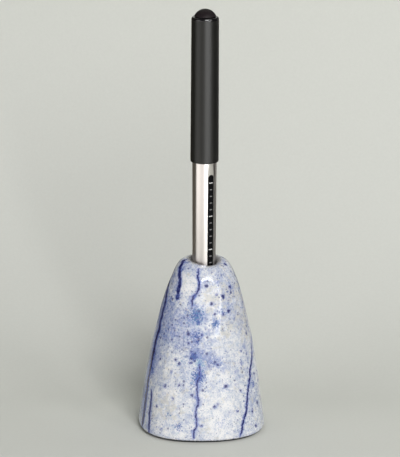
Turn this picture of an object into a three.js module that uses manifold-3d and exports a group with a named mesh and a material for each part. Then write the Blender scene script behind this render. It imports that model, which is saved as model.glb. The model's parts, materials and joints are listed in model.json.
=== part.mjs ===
// A desk pen stand: a glazed ceramic body with a blind socket in its top, and the capped pen that stands in it.
// Millimetres, +Z up. The origin is the middle of the foot pad's underside, and the photographed front
// faces -Y. Turns about Z are measured from the front towards the right, which is +X.
import * as THREE from "three";
import { mergeVertices } from "three/addons/utils/BufferGeometryUtils.js";
import Module from "manifold-3d";

const wasm = await Module();
wasm.setup();

// Fits and gaps
const SEAT_GAP = 0.3; // a piece and the face it rests on
const BORE_GAP = 0.25; // a piece and the bore it is pressed or screwed into
const SOCKET_CLEARANCE = 0.45; // the pen and the socket's wall, so that it lifts out with two fingers
const CAP_CLEARANCE = 0.25; // the cap and the barrel it slides over
const GLUE_GAP = 0.2; // the body and the pad glued under it

// The foot pad and the ceramic body
const PAD_THICKNESS = 0.6;
const PAD_INSET = 1.8;
const BODY_FOOT_RADIUS = 28.1;
const BODY_HEIGHT = 75.9;
const BODY_FOOT_ROUNDING = 1.2;
const BODY_LEAN = -0.9; // how far the foot's middle lies to the right of the socket's axis
const FOOT_SQUARENESS = 0.58; // added to the plan's exponent at the foot: 2 is a circle, more is squarer
const FOOT_SQUARENESS_TURN = 5;
const FRONT_SWELL = 1.2; // the belly at the foot's front
const FRONT_SWELL_TURN = 8;
const FRONT_SWELL_ANGLE = 28;
const FOOT_SHAPE_HEIGHT = 42; // above this height the body's plan is round
const CROWN_DROP = 1.6; // the crown is this much lower at its lowest side
const CROWN_DROP_TURN = 28;
const CROWN_DROP_ANGLE = 42; // how far round the crown the low side reaches
const CROWN_BAND = 14; // the drop fades out over this height

// The flank between the foot (0, 1) and the crest (1, 0): share of the height, share of the narrowing left
const FLANK_SHAPE = [
  [0.155, 0.913],
  [0.331, 0.828],
  [0.507, 0.71],
  [0.67, 0.58],
  [0.806, 0.442],
  [0.901, 0.322],
  [0.955, 0.23],
  [0.988, 0.13],
];

// The socket, and the hollow round it that is open at the foot
const SOCKET_DEPTH = 28.0;
const MOUTH_ROUNDING = 1.7;
const SOCKET_WALL = 3.4;
const SOCKET_END_THICKNESS = 4.0;
const BODY_WALL = 5.0;
const HOLLOW_SPRING_HEIGHT = 57; // above this the hollow closes in an arch
const HOLLOW_ARCH_RISE = 2.5;
const HOLLOW_ROUNDING = 1.5;

// The pen's barrel. Stations along the pen are measured from its lower end.
const BARREL_MOUTH_RADIUS = 5.33;
const BARREL_END_RADIUS = 4.98;
const BARREL_BORE_RADIUS = 4.55;
const BARREL_LENGTH = 76.9;

// The slot and the graduated strip in it
const SLOT_TURN = 34.5;
const SLOT_WIDTH = 3.0;
const SLOT_TOP_MARGIN = 12.7; // solid barrel between the slot and the barrel's mouth
const STRIP_SIDE_GAP = 0.15;
const STRIP_RECESS = 0.12; // how far the strip lies below the barrel's surface
const STRIP_FLANGE_THICKNESS = 0.4;
const STRIP_FLANGE_MARGIN = 1.6; // the flange behind the slot is this much longer at each end
const STRIP_FLANGE_ANGLE = 64;
const MARK_PITCH = 3.0;
const MARK_FIRST_DROP = 3.6; // first mark below the slot's top end
const MARK_HEIGHT = 0.42;
const MARK_RELIEF = 0.06;
const SHORT_MARK_WIDTH = 1.35;
const LONG_MARK_WIDTH = 1.9;
const MARKS_PER_GROUP = 5;

// The plug in the barrel's lower end
const PLUG_FLANGE_THICKNESS = 1.9;
const PLUG_ROUNDING = 0.9;
const PLUG_SPIGOT_LENGTH = 7.6;
const PLUG_CUP_RADIUS = 3.2;
const PLUG_FLOOR = 2.4; // the plug's thickness below the spring

// The writing end: threaded bush, grip, nose
const BUSH_LENGTH = 8.2;
const BUSH_WALL = 0.45;
const BUSH_SETBACK = 0.4; // the bush lies this far inside the barrel's mouth
const GRIP_TAIL_LENGTH = 8.8;
const GRIP_COLLAR_RADIUS = 5.15;
const GRIP_COLLAR_THICKNESS = 1.5;
const GRIP_NECK_RADIUS = 4.5;
const GRIP_NECK_LENGTH = 3.0;
const GRIP_FRONT_RADIUS = 3.7;
const GRIP_LENGTH = 23.0; // from the barrel's mouth to the nose
const NOSE_LENGTH = 7.8;
const NOSE_TIP_RADIUS = 1.65;
const NOSE_BORE_STEP = 4.2; // depth of the nose's wide bore

// The refill
const REFILL_RADIUS = 2.85;
const REFILL_WALL = 0.4;
const REFILL_LENGTH = 89.0;
const REFILL_PLUG_LENGTH = 5.0;
const REFILL_PLUG_FLANGE = 0.8;
const TIP_SHOULDER_RADIUS = 1.9;
const TIP_SHOULDER_LENGTH = 2.6;
const TIP_STEM_RADIUS = 1.0;
const TIP_STEM_LENGTH = 5.6;
const TIP_CONE_LENGTH = 2.2;
const TIP_BALL_RADIUS = 0.4;

// The spring behind the refill
const SPRING_RADIUS = 2.2;
const SPRING_WIRE_RADIUS = 0.28;
const SPRING_TURNS = 6;

// The cap
const CAP_LENGTH = 63.65;
const CAP_MOUTH_RADIUS = 6.15;
const CAP_TOP_RADIUS = 5.93;
const CAP_OVERLAP = 7.6; // the barrel reaches this far into the cap
const CAP_EDGE_ROUNDING = 0.7;
const CAP_SHOULDER_WIDTH = 0.55;
const CAP_SHOULDER_DROP = 1.4;
const CAP_WIDE_BORE_LENGTH = 11.3;
const CAP_BORE_RADIUS = 5.2;
const CAP_END_THICKNESS = 1.5;
const CLUTCH_THICKNESS = 1.2;
const CLUTCH_LIFT = 0.3; // the clutch ring above the grip's collar
const INNER_CAP_WALL = 0.6;
const INNER_CAP_LENGTH = 34.0;
const INNER_CAP_END_THICKNESS = 1.1;

// The finial and its screw
const FINIAL_RADIUS = 4.72;
const FINIAL_HEIGHT = 3.2;
const FINIAL_EDGE = 0.15; // the short upright edge under the dome
const SCREW_RADIUS = 1.2;
const SCREW_REACH = 1.6; // the screw's length inside the finial
const SCREW_HEAD_RADIUS = 2.4;
const SCREW_HEAD_THICKNESS = 1.2;

// How finely the round forms are cut
const BODY_SIDES = 60;
const TUBE_SIDES = 40;
const SMALL_SIDES = 28;
const FLANK_STEPS = 26;
const ROUNDING_STEPS = 4;
const SPRING_STEPS_PER_TURN = 10;
const SPRING_SIDES = 6;

// Worked out from the sizes above
const BODY_BOTTOM = PAD_THICKNESS + GLUE_GAP;
const SOCKET_FLOOR = BODY_HEIGHT - SOCKET_DEPTH;
const PEN_FOOT = SOCKET_FLOOR + SEAT_GAP; // height of the pen's lower end in the body
const BARREL_START = PLUG_FLANGE_THICKNESS + SEAT_GAP;
const BARREL_MOUTH = BARREL_START + BARREL_LENGTH;
const SLOT_TOP = BARREL_MOUTH - SLOT_TOP_MARGIN;
const PLUG_SPIGOT_END = PLUG_FLANGE_THICKNESS + PLUG_SPIGOT_LENGTH;
const SLOT_BOTTOM = PLUG_SPIGOT_END + SEAT_GAP + STRIP_FLANGE_MARGIN;
const GRIP_START = BARREL_MOUTH + SEAT_GAP;
const GRIP_FRONT = GRIP_START + GRIP_LENGTH;
const NOSE_START = GRIP_FRONT + SEAT_GAP;
const NOSE_END = NOSE_START + NOSE_LENGTH;
const REFILL_END = NOSE_START + SEAT_GAP;
const REFILL_START = REFILL_END - REFILL_LENGTH;
const TIP_START = REFILL_END + SEAT_GAP;
const SPRING_START = PLUG_FLOOR + SEAT_GAP + SPRING_WIRE_RADIUS;
const SPRING_END = REFILL_START - REFILL_PLUG_FLANGE - 2 * SEAT_GAP - SPRING_WIRE_RADIUS;
const CAP_MOUTH = BARREL_MOUTH - CAP_OVERLAP;
const CAP_TOP = CAP_MOUTH + CAP_LENGTH;
const CAP_STEP = CAP_MOUTH + CAP_WIDE_BORE_LENGTH;
const CLUTCH_START = GRIP_START + GRIP_COLLAR_THICKNESS + CLUTCH_LIFT;
const INNER_CAP_TOP = CAP_TOP - CAP_END_THICKNESS - SEAT_GAP;
const FINIAL_START = CAP_TOP + GLUE_GAP;
const BUSH_RADIUS = BARREL_BORE_RADIUS - BORE_GAP;
const BUSH_BORE_RADIUS = BUSH_RADIUS - BUSH_WALL;
const GRIP_TAIL_RADIUS = BUSH_BORE_RADIUS - BORE_GAP;
const GRIP_BORE_RADIUS = REFILL_RADIUS + BORE_GAP;
const SCREW_HOLE_RADIUS = SCREW_RADIUS + BORE_GAP;

/** The radius of the tapered barrel at a station along the pen. */
function barrelRadius(station) {
  const share = (station - BARREL_START) / BARREL_LENGTH;
  return THREE.MathUtils.lerp(BARREL_END_RADIUS, BARREL_MOUTH_RADIUS, share);
}

const SOCKET_RADIUS = barrelRadius(SOCKET_DEPTH) + SOCKET_CLEARANCE;

/** A smooth step from 0 to 1 as x goes from low to high. */
function ease(x, low, high) {
  return THREE.MathUtils.smoothstep(x, low, high);
}

/** Points on a quarter of an ellipse about (r, z), from one angle to another in degrees. */
function arc(r, z, radiusR, radiusZ, from, to, steps = ROUNDING_STEPS) {
  const points = [];
  for (let i = 0; i <= steps; i += 1) {
    const angle = THREE.MathUtils.degToRad(from + ((to - from) * i) / steps);
    points.push([r + radiusR * Math.cos(angle), z + radiusZ * Math.sin(angle)]);
  }
  return points;
}

/** A turned solid about +Z. The outline runs anticlockwise in (radius, height). */
function turned(outline, sides = TUBE_SIDES) {
  const points = outline.map(([r, z]) => new THREE.Vector2(Math.max(r, 0), z));
  return new THREE.LatheGeometry(points, sides).rotateX(Math.PI / 2);
}

/** A turned tube with straight or tapered walls between two stations. */
function tube(start, end, outerStart, outerEnd, innerRadius, sides = TUBE_SIDES) {
  return turned(
    [
      [innerRadius, start],
      [outerStart, start],
      [outerEnd, end],
      [innerRadius, end],
      [innerRadius, start],
    ],
    sides,
  );
}

/** A geometry as a solid that can be cut and joined. */
function solidFrom(geometry) {
  const bare = geometry.clone();
  bare.deleteAttribute("normal");
  bare.deleteAttribute("uv");
  const merged = mergeVertices(bare, 1e-4);
  const vertProperties = new Float32Array(merged.attributes.position.array);
  const triVerts = new Uint32Array(merged.index.array);
  return new wasm.Manifold(new wasm.Mesh({ numProp: 3, vertProperties, triVerts }));
}

/** A cut or joined solid as a geometry again. */
function geometryFrom(solid) {
  const mesh = solid.getMesh();
  const geometry = new THREE.BufferGeometry();
  geometry.setAttribute("position", new THREE.BufferAttribute(mesh.vertProperties, 3));
  geometry.setIndex(new THREE.BufferAttribute(mesh.triVerts, 1));
  return geometry;
}

/** An upright bar with round ends, through the barrel's wall on the slot's side. */
function slotBar(width, bottom, top, reach) {
  const half = width / 2;
  const outline = new THREE.Shape();
  outline.absarc(0, top - half, half, 0, Math.PI, false);
  outline.absarc(0, bottom + half, half, Math.PI, 2 * Math.PI, false);
  const bar = new THREE.ExtrudeGeometry(outline, { depth: reach, bevelEnabled: false, curveSegments: 10 });
  bar.rotateX(Math.PI / 2);
  return bar.rotateZ(THREE.MathUtils.degToRad(SLOT_TURN));
}

/** How far a turn in radians lies from a middle in degrees: degrees between -180 and 180. */
function turnFrom(turn, middle) {
  const away = THREE.MathUtils.radToDeg(turn) - middle;
  return THREE.MathUtils.euclideanModulo(away + 180, 360) - 180;
}

/** The body's plan at the foot: how far its edge lies out at a turn, for a given round radius. */
function footPlan(radius, turn, strength) {
  const exponent = 2 + FOOT_SQUARENESS * strength;
  const squareTurn = turn - THREE.MathUtils.degToRad(FOOT_SQUARENESS_TURN);
  const sum = Math.abs(Math.cos(squareTurn)) ** exponent + Math.abs(Math.sin(squareTurn)) ** exponent;
  const swell = FRONT_SWELL * Math.exp(-((turnFrom(turn, FRONT_SWELL_TURN) / FRONT_SWELL_ANGLE) ** 2) / 2);
  return radius * sum ** (-1 / exponent) + swell * strength;
}

/** How strongly the foot's plan still shows at a height: 1 at the foot and 0 where the body is round. */
function footStrength(height) {
  return 1 - ease(height, BODY_BOTTOM, FOOT_SHAPE_HEIGHT);
}

/** The flank between the foot's rounding and the crest, from the bottom up. */
function flankPoints() {
  const crestRadius = SOCKET_RADIUS + MOUTH_ROUNDING;
  const footTop = BODY_BOTTOM + BODY_FOOT_ROUNDING;
  const rise = BODY_HEIGHT - footTop;
  const narrowing = BODY_FOOT_RADIUS - crestRadius;
  const shape = [[0, 1], ...FLANK_SHAPE, [1, 0]];
  const flank = new THREE.SplineCurve(
    shape.map(([up, out]) => new THREE.Vector2(crestRadius + narrowing * out, footTop + rise * up)),
  );
  return flank.getPoints(FLANK_STEPS).map((point) => [point.x, point.y]);
}

/** The hollow's outline: out from the axis under the socket, up its tube, and down inside the wall. */
function hollowOutline(flank) {
  const tubeRadius = SOCKET_RADIUS + SOCKET_WALL;
  const tubeEnd = SOCKET_FLOOR - SOCKET_END_THICKNESS;
  const wall = flank
    .filter(([, height]) => height < HOLLOW_SPRING_HEIGHT)
    .map(([radius, height]) => [radius - BODY_WALL, height])
    .reverse();
  const [springRadius, springHeight] = wall[0];
  const middle = (tubeRadius + springRadius) / 2;
  const half = (springRadius - tubeRadius) / 2;
  const round = HOLLOW_ROUNDING;
  return [
    [0, tubeEnd],
    ...arc(tubeRadius - round, tubeEnd + round, round, round, -90, 0),
    ...arc(middle, springHeight, half, HOLLOW_ARCH_RISE, 180, 0, 2 * ROUNDING_STEPS),
    ...wall.slice(1),
    [BODY_FOOT_RADIUS - BODY_WALL, BODY_BOTTOM],
  ];
}

/** The body's outline about the socket's axis, from the hollow round the foot to the socket's floor. */
function bodyOutline() {
  const crestRadius = SOCKET_RADIUS + MOUTH_ROUNDING;
  const footTop = BODY_BOTTOM + BODY_FOOT_ROUNDING;
  const footCentre = BODY_FOOT_RADIUS - BODY_FOOT_ROUNDING;
  const flank = flankPoints();
  return [
    ...hollowOutline(flank),
    ...arc(footCentre, footTop, BODY_FOOT_ROUNDING, BODY_FOOT_ROUNDING, -90, 0).slice(0, -1),
    ...flank,
    ...arc(crestRadius, BODY_HEIGHT - MOUTH_ROUNDING, MOUTH_ROUNDING, MOUTH_ROUNDING, 90, 180).slice(1),
    [SOCKET_RADIUS, SOCKET_FLOOR],
    [0, SOCKET_FLOOR],
  ];
}

/** The body: a turned form, then given its square foot, its belly, its lean and its sloping crown. */
function bodyGeometry() {
  const body = turned(bodyOutline(), BODY_SIDES);
  const places = body.attributes.position;
  for (let i = 0; i < places.count; i += 1) {
    const x = places.getX(i);
    const y = places.getY(i);
    const z = places.getZ(i);
    const radius = Math.hypot(x, y);
    const turn = Math.atan2(x, -y);
    const skin = ease(radius, SOCKET_RADIUS, SOCKET_RADIUS + 2 * MOUTH_ROUNDING);
    const plan = THREE.MathUtils.lerp(radius, footPlan(radius, turn, footStrength(z)), skin);
    const lean = BODY_LEAN * skin * (1 - z / BODY_HEIGHT);
    const lowSide = Math.exp(-((turnFrom(turn, CROWN_DROP_TURN) / CROWN_DROP_ANGLE) ** 2) / 2);
    const drop = CROWN_DROP * lowSide * ease(z, BODY_HEIGHT - CROWN_BAND, BODY_HEIGHT);
    places.setXYZ(i, plan * Math.sin(turn) + lean, -plan * Math.cos(turn), z - drop);
  }
  return body;
}

/** The thin pad under the body, with the outline of the body's foot drawn in. */
function padGeometry() {
  const outline = new THREE.Shape();
  for (let i = 0; i < BODY_SIDES; i += 1) {
    const turn = (2 * Math.PI * i) / BODY_SIDES;
    const plan = footPlan(BODY_FOOT_RADIUS, turn, 1) - PAD_INSET;
    const x = plan * Math.sin(turn) + BODY_LEAN;
    const y = -plan * Math.cos(turn);
    if (i === 0) {
      outline.moveTo(x, y);
    } else {
      outline.lineTo(x, y);
    }
  }
  outline.closePath();
  return new THREE.ExtrudeGeometry(outline, { depth: PAD_THICKNESS, bevelEnabled: false });
}

/** The tapered barrel with its long slot. */
function barrelGeometry() {
  const wall = tube(BARREL_START, BARREL_MOUTH, BARREL_END_RADIUS, BARREL_MOUTH_RADIUS, BARREL_BORE_RADIUS);
  const slot = slotBar(SLOT_WIDTH, SLOT_BOTTOM, SLOT_TOP, 2 * BARREL_MOUTH_RADIUS);
  return geometryFrom(solidFrom(wall).subtract(solidFrom(slot)));
}

/** The solid between two radii, over the strip's length, that follows the barrel's taper outside. */
function stripShell(innerRadius, bottom, top, recess) {
  return solidFrom(
    tube(bottom, top, barrelRadius(bottom) - recess, barrelRadius(top) - recess, innerRadius),
  );
}

/** A wedge about the slot's middle, used to trim the flange behind the strip. */
function slotWedge(bottom, top) {
  const half = THREE.MathUtils.degToRad(STRIP_FLANGE_ANGLE / 2);
  const reach = 2 * BARREL_MOUTH_RADIUS;
  const outline = new THREE.Shape();
  outline.moveTo(0, 0);
  outline.lineTo(-reach * Math.sin(half), -reach * Math.cos(half));
  outline.lineTo(reach * Math.sin(half), -reach * Math.cos(half));
  outline.closePath();
  const wedge = new THREE.ExtrudeGeometry(outline, { depth: top - bottom, bevelEnabled: false });
  wedge.translate(0, 0, bottom);
  return wedge.rotateZ(THREE.MathUtils.degToRad(SLOT_TURN));
}

/** The strip's raised marks, each trimmed to the strip's round face. */
function markSolids() {
  const face = stripShell(0, SLOT_BOTTOM, SLOT_TOP, STRIP_RECESS - MARK_RELIEF);
  const marks = [];
  const lowest = SLOT_BOTTOM + SLOT_WIDTH;
  const highest = SLOT_TOP - MARK_FIRST_DROP;
  for (let i = 0; highest - i * MARK_PITCH > lowest; i += 1) {
    const width = i % MARKS_PER_GROUP === 0 ? LONG_MARK_WIDTH : SHORT_MARK_WIDTH;
    const bar = new THREE.BoxGeometry(width, BARREL_MOUTH_RADIUS, MARK_HEIGHT);
    bar.translate(0, -BARREL_BORE_RADIUS - BARREL_MOUTH_RADIUS / 2, highest - i * MARK_PITCH);
    bar.rotateZ(THREE.MathUtils.degToRad(SLOT_TURN));
    marks.push(solidFrom(bar).intersect(face));
  }
  return marks;
}

/** The graduated strip: a face that fills the slot, a wider flange behind the wall, and its marks. */
function stripGeometry() {
  const flangeRadius = BARREL_BORE_RADIUS - BORE_GAP;
  const innerRadius = flangeRadius - STRIP_FLANGE_THICKNESS;
  const flangeBottom = SLOT_BOTTOM - STRIP_FLANGE_MARGIN;
  const flangeTop = SLOT_TOP + STRIP_FLANGE_MARGIN;
  const flangeTube = solidFrom(tube(flangeBottom, flangeTop, flangeRadius, flangeRadius, innerRadius));
  const flange = flangeTube.intersect(solidFrom(slotWedge(flangeBottom, flangeTop)));
  const width = SLOT_WIDTH - 2 * STRIP_SIDE_GAP;
  const bottom = SLOT_BOTTOM + STRIP_SIDE_GAP;
  const top = SLOT_TOP - STRIP_SIDE_GAP;
  const bar = solidFrom(slotBar(width, bottom, top, 2 * BARREL_MOUTH_RADIUS));
  const face = stripShell(innerRadius, SLOT_BOTTOM, SLOT_TOP, STRIP_RECESS).intersect(bar);
  let strip = flange.add(face);
  for (const mark of markSolids()) {
    strip = strip.add(mark);
  }
  return geometryFrom(strip);
}

/** The plug that closes the barrel's lower end and holds the spring in its cup. */
function endPlugGeometry() {
  const spigotRadius = BARREL_BORE_RADIUS - BORE_GAP;
  return turned([
    [0, 0],
    ...arc(BARREL_END_RADIUS - PLUG_ROUNDING, PLUG_ROUNDING, PLUG_ROUNDING, PLUG_ROUNDING, -90, 0),
    [BARREL_END_RADIUS, PLUG_FLANGE_THICKNESS],
    [spigotRadius, PLUG_FLANGE_THICKNESS],
    [spigotRadius, PLUG_SPIGOT_END],
    [PLUG_CUP_RADIUS, PLUG_SPIGOT_END],
    [PLUG_CUP_RADIUS, PLUG_FLOOR],
    [0, PLUG_FLOOR],
  ]);
}

/** The brass bush pressed into the barrel's mouth, which the grip screws into. */
function bushGeometry() {
  const end = BARREL_MOUTH - BUSH_SETBACK;
  return tube(end - BUSH_LENGTH, end, BUSH_RADIUS, BUSH_RADIUS, BUSH_BORE_RADIUS, SMALL_SIDES);
}

/** The grip: a tail inside the bush, a collar on the barrel's mouth, a neck and a tapered front. */
function gripGeometry() {
  const collarEnd = GRIP_START + GRIP_COLLAR_THICKNESS;
  return turned([
    [GRIP_BORE_RADIUS, GRIP_START - GRIP_TAIL_LENGTH],
    [GRIP_TAIL_RADIUS, GRIP_START - GRIP_TAIL_LENGTH],
    [GRIP_TAIL_RADIUS, GRIP_START],
    [GRIP_COLLAR_RADIUS, GRIP_START],
    [GRIP_COLLAR_RADIUS, collarEnd],
    [GRIP_NECK_RADIUS, collarEnd],
    [GRIP_NECK_RADIUS, collarEnd + GRIP_NECK_LENGTH],
    [GRIP_FRONT_RADIUS, GRIP_FRONT],
    [GRIP_BORE_RADIUS, GRIP_FRONT],
    [GRIP_BORE_RADIUS, GRIP_START - GRIP_TAIL_LENGTH],
  ]);
}

/** The metal nose, with a wide bore for the refill's shoulder and a narrow one for its stem. */
function noseGeometry() {
  const wide = TIP_SHOULDER_RADIUS + BORE_GAP;
  const narrow = TIP_STEM_RADIUS + BORE_GAP;
  const step = NOSE_START + NOSE_BORE_STEP;
  return turned(
    [
      [GRIP_BORE_RADIUS, NOSE_START],
      [GRIP_FRONT_RADIUS, NOSE_START],
      [NOSE_TIP_RADIUS, NOSE_END],
      [narrow, NOSE_END],
      [narrow, step],
      [wide, step],
      [wide, REFILL_END + SEAT_GAP / 2],
      [GRIP_BORE_RADIUS, REFILL_END + SEAT_GAP / 2],
      [GRIP_BORE_RADIUS, NOSE_START],
    ],
    SMALL_SIDES,
  );
}

/** The refill's metal tube. */
function refillTubeGeometry() {
  const bore = REFILL_RADIUS - REFILL_WALL;
  return tube(REFILL_START, REFILL_END, REFILL_RADIUS, REFILL_RADIUS, bore, SMALL_SIDES);
}

/** The plug in the refill's back end, on which the spring pushes. */
function refillPlugGeometry() {
  const stem = REFILL_RADIUS - REFILL_WALL - BORE_GAP;
  const flangeStart = REFILL_START - SEAT_GAP - REFILL_PLUG_FLANGE;
  return turned(
    [
      [0, flangeStart],
      [REFILL_RADIUS, flangeStart],
      [REFILL_RADIUS, flangeStart + REFILL_PLUG_FLANGE],
      [stem, flangeStart + REFILL_PLUG_FLANGE],
      [stem, REFILL_START + REFILL_PLUG_LENGTH],
      [0, REFILL_START + REFILL_PLUG_LENGTH],
    ],
    SMALL_SIDES,
  );
}

/** The refill's writing tip: a plug in the tube, a shoulder in the nose, a stem and a cone. */
function refillTipGeometry() {
  const plug = REFILL_RADIUS - REFILL_WALL - BORE_GAP;
  const shoulderEnd = TIP_START + TIP_SHOULDER_LENGTH;
  const stemEnd = shoulderEnd + TIP_STEM_LENGTH;
  const coneEnd = stemEnd + TIP_CONE_LENGTH;
  return turned(
    [
      [0, REFILL_END - REFILL_PLUG_LENGTH],
      [plug, REFILL_END - REFILL_PLUG_LENGTH],
      [plug, REFILL_END - SEAT_GAP],
      [TIP_SHOULDER_RADIUS, REFILL_END - SEAT_GAP],
      [TIP_SHOULDER_RADIUS, shoulderEnd],
      [TIP_STEM_RADIUS, shoulderEnd],
      [TIP_STEM_RADIUS, stemEnd],
      ...arc(0, coneEnd - TIP_BALL_RADIUS, TIP_BALL_RADIUS, TIP_BALL_RADIUS, 0, 90),
    ],
    SMALL_SIDES,
  );
}

/** The centre line of the spring. */
class SpringLine extends THREE.Curve {
  getPoint(share, target = new THREE.Vector3()) {
    const angle = 2 * Math.PI * SPRING_TURNS * share;
    const z = THREE.MathUtils.lerp(SPRING_START, SPRING_END, share);
    return target.set(SPRING_RADIUS * Math.cos(angle), SPRING_RADIUS * Math.sin(angle), z);
  }
}

/** The spring behind the refill: one unbroken wire. */
function springGeometry() {
  const wire = new THREE.Shape();
  for (let i = 0; i < SPRING_SIDES; i += 1) {
    const angle = (2 * Math.PI * i) / SPRING_SIDES;
    const x = SPRING_WIRE_RADIUS * Math.cos(angle);
    const y = SPRING_WIRE_RADIUS * Math.sin(angle);
    if (i === 0) {
      wire.moveTo(x, y);
    } else {
      wire.lineTo(x, y);
    }
  }
  wire.closePath();
  const steps = SPRING_TURNS * SPRING_STEPS_PER_TURN;
  return new THREE.ExtrudeGeometry(wire, { steps, extrudePath: new SpringLine() });
}

/** The cap's sleeve: rounded mouth, a slight taper, a wide bore for the barrel, and a closed end. */
function capSleeveGeometry() {
  const mouthBore = BARREL_MOUTH_RADIUS + CAP_CLEARANCE;
  const endInside = CAP_TOP - CAP_END_THICKNESS;
  const edge = CAP_EDGE_ROUNDING;
  const shoulder = arc(
    CAP_TOP_RADIUS - CAP_SHOULDER_WIDTH,
    CAP_TOP - CAP_SHOULDER_DROP,
    CAP_SHOULDER_WIDTH,
    CAP_SHOULDER_DROP,
    0,
    90,
  );
  const lip = CAP_MOUTH_RADIUS - mouthBore - SEAT_GAP / 2;
  return turned([
    [mouthBore, CAP_MOUTH],
    ...arc(CAP_MOUTH_RADIUS - lip, CAP_MOUTH + edge, lip, edge, -90, 0),
    ...shoulder,
    [SCREW_HOLE_RADIUS, CAP_TOP],
    [SCREW_HOLE_RADIUS, endInside],
    [CAP_BORE_RADIUS, endInside],
    [CAP_BORE_RADIUS, CAP_STEP],
    [mouthBore, CAP_STEP],
    [mouthBore, CAP_MOUTH],
  ]);
}

/** The sprung ring inside the cap that holds it on the grip's neck. */
function clutchRingGeometry() {
  const outer = BARREL_MOUTH_RADIUS + CAP_CLEARANCE - BORE_GAP;
  const inner = GRIP_NECK_RADIUS + BORE_GAP;
  return tube(CLUTCH_START, CLUTCH_START + CLUTCH_THICKNESS, outer, outer, inner);
}

/** The plastic inner cap that keeps the tip from drying. */
function innerCapGeometry() {
  const outer = CAP_BORE_RADIUS - BORE_GAP;
  const inner = outer - INNER_CAP_WALL;
  const start = INNER_CAP_TOP - INNER_CAP_LENGTH;
  const inside = INNER_CAP_TOP - INNER_CAP_END_THICKNESS;
  return turned([
    [inner, start],
    [outer, start],
    [outer, INNER_CAP_TOP],
    [SCREW_HOLE_RADIUS, INNER_CAP_TOP],
    [SCREW_HOLE_RADIUS, inside],
    [inner, inside],
    [inner, start],
  ]);
}

/** The glossy dome on the cap's end, with a blind hole for its screw. */
function finialGeometry() {
  const base = FINIAL_START + FINIAL_EDGE;
  const hole = FINIAL_START + SCREW_REACH + SEAT_GAP;
  return turned([
    [0, hole],
    [SCREW_HOLE_RADIUS, hole],
    [SCREW_HOLE_RADIUS, FINIAL_START],
    [FINIAL_RADIUS, FINIAL_START],
    ...arc(0, base, FINIAL_RADIUS, FINIAL_HEIGHT - FINIAL_EDGE, 0, 90, 3 * ROUNDING_STEPS),
  ]);
}

/** The screw that clamps the inner cap and the sleeve's end under the finial. */
function finialScrewGeometry() {
  const headTop = INNER_CAP_TOP - INNER_CAP_END_THICKNESS - SEAT_GAP;
  return turned(
    [
      [0, headTop - SCREW_HEAD_THICKNESS],
      [SCREW_HEAD_RADIUS, headTop - SCREW_HEAD_THICKNESS],
      [SCREW_HEAD_RADIUS, headTop],
      [SCREW_RADIUS, headTop],
      [SCREW_RADIUS, FINIAL_START + SCREW_REACH],
      [0, FINIAL_START + SCREW_REACH],
    ],
    SMALL_SIDES,
  );
}

/** A named piece with its own material. */
function piece(name, geometry, color, roughness, metalness) {
  geometry.computeVertexNormals();
  const material = new THREE.MeshStandardMaterial({ color, roughness, metalness });
  const mesh = new THREE.Mesh(geometry, material);
  mesh.name = name;
  return mesh;
}

// The stand: the ceramic body and the pad under it
const stand = new THREE.Group();
stand.add(piece("ceramic_body", bodyGeometry(), 0xcdd0e0, 0.18, 0));
stand.add(piece("base_pad", padGeometry(), 0x24262a, 0.95, 0));

// The pen, standing on its end plug in the socket
const pen = new THREE.Group();
pen.position.z = PEN_FOOT;
pen.add(piece("barrel_tube", barrelGeometry(), 0xcfccc8, 0.32, 1));
pen.add(piece("scale_strip", stripGeometry(), 0x111113, 0.45, 0));
pen.add(piece("barrel_end_plug", endPlugGeometry(), 0x1d1d1e, 0.5, 0));
pen.add(piece("thread_bush", bushGeometry(), 0xb08d4c, 0.35, 1));
pen.add(piece("section_grip", gripGeometry(), 0x1a1a1b, 0.45, 0));
pen.add(piece("nose_cone", noseGeometry(), 0xc4c5c8, 0.22, 1));
pen.add(piece("refill_tube", refillTubeGeometry(), 0xb9bbbf, 0.3, 1));
pen.add(piece("refill_plug", refillPlugGeometry(), 0xd8d8d2, 0.5, 0));
pen.add(piece("refill_tip", refillTipGeometry(), 0xc9a24e, 0.28, 1));
pen.add(piece("refill_spring", springGeometry(), 0x9c9fa3, 0.3, 1));

// The cap, over the pen's writing end
const cap = new THREE.Group();
cap.add(piece("cap_sleeve", capSleeveGeometry(), 0x1c1c1b, 0.6, 0.3));
cap.add(piece("clutch_ring", clutchRingGeometry(), 0xb4b7bb, 0.25, 1));
cap.add(piece("inner_cap", innerCapGeometry(), 0x151515, 0.55, 0));
cap.add(piece("finial_dome", finialGeometry(), 0x140f11, 0.08, 0));
cap.add(piece("finial_screw", finialScrewGeometry(), 0xa9acb0, 0.3, 1));
pen.add(cap);

const penStand = new THREE.Group();
penStand.add(stand, pen);

export default penStand;
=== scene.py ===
"""The looks of a desk pen stand: a glazed ceramic body and the capped pen that stands in it."""

import json
import logging
import math
import random
from collections.abc import Callable
from dataclasses import dataclass
from enum import Enum

import bmesh
import bpy
import numpy as np
from mathutils import kdtree, Matrix, noise, Vector

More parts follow.
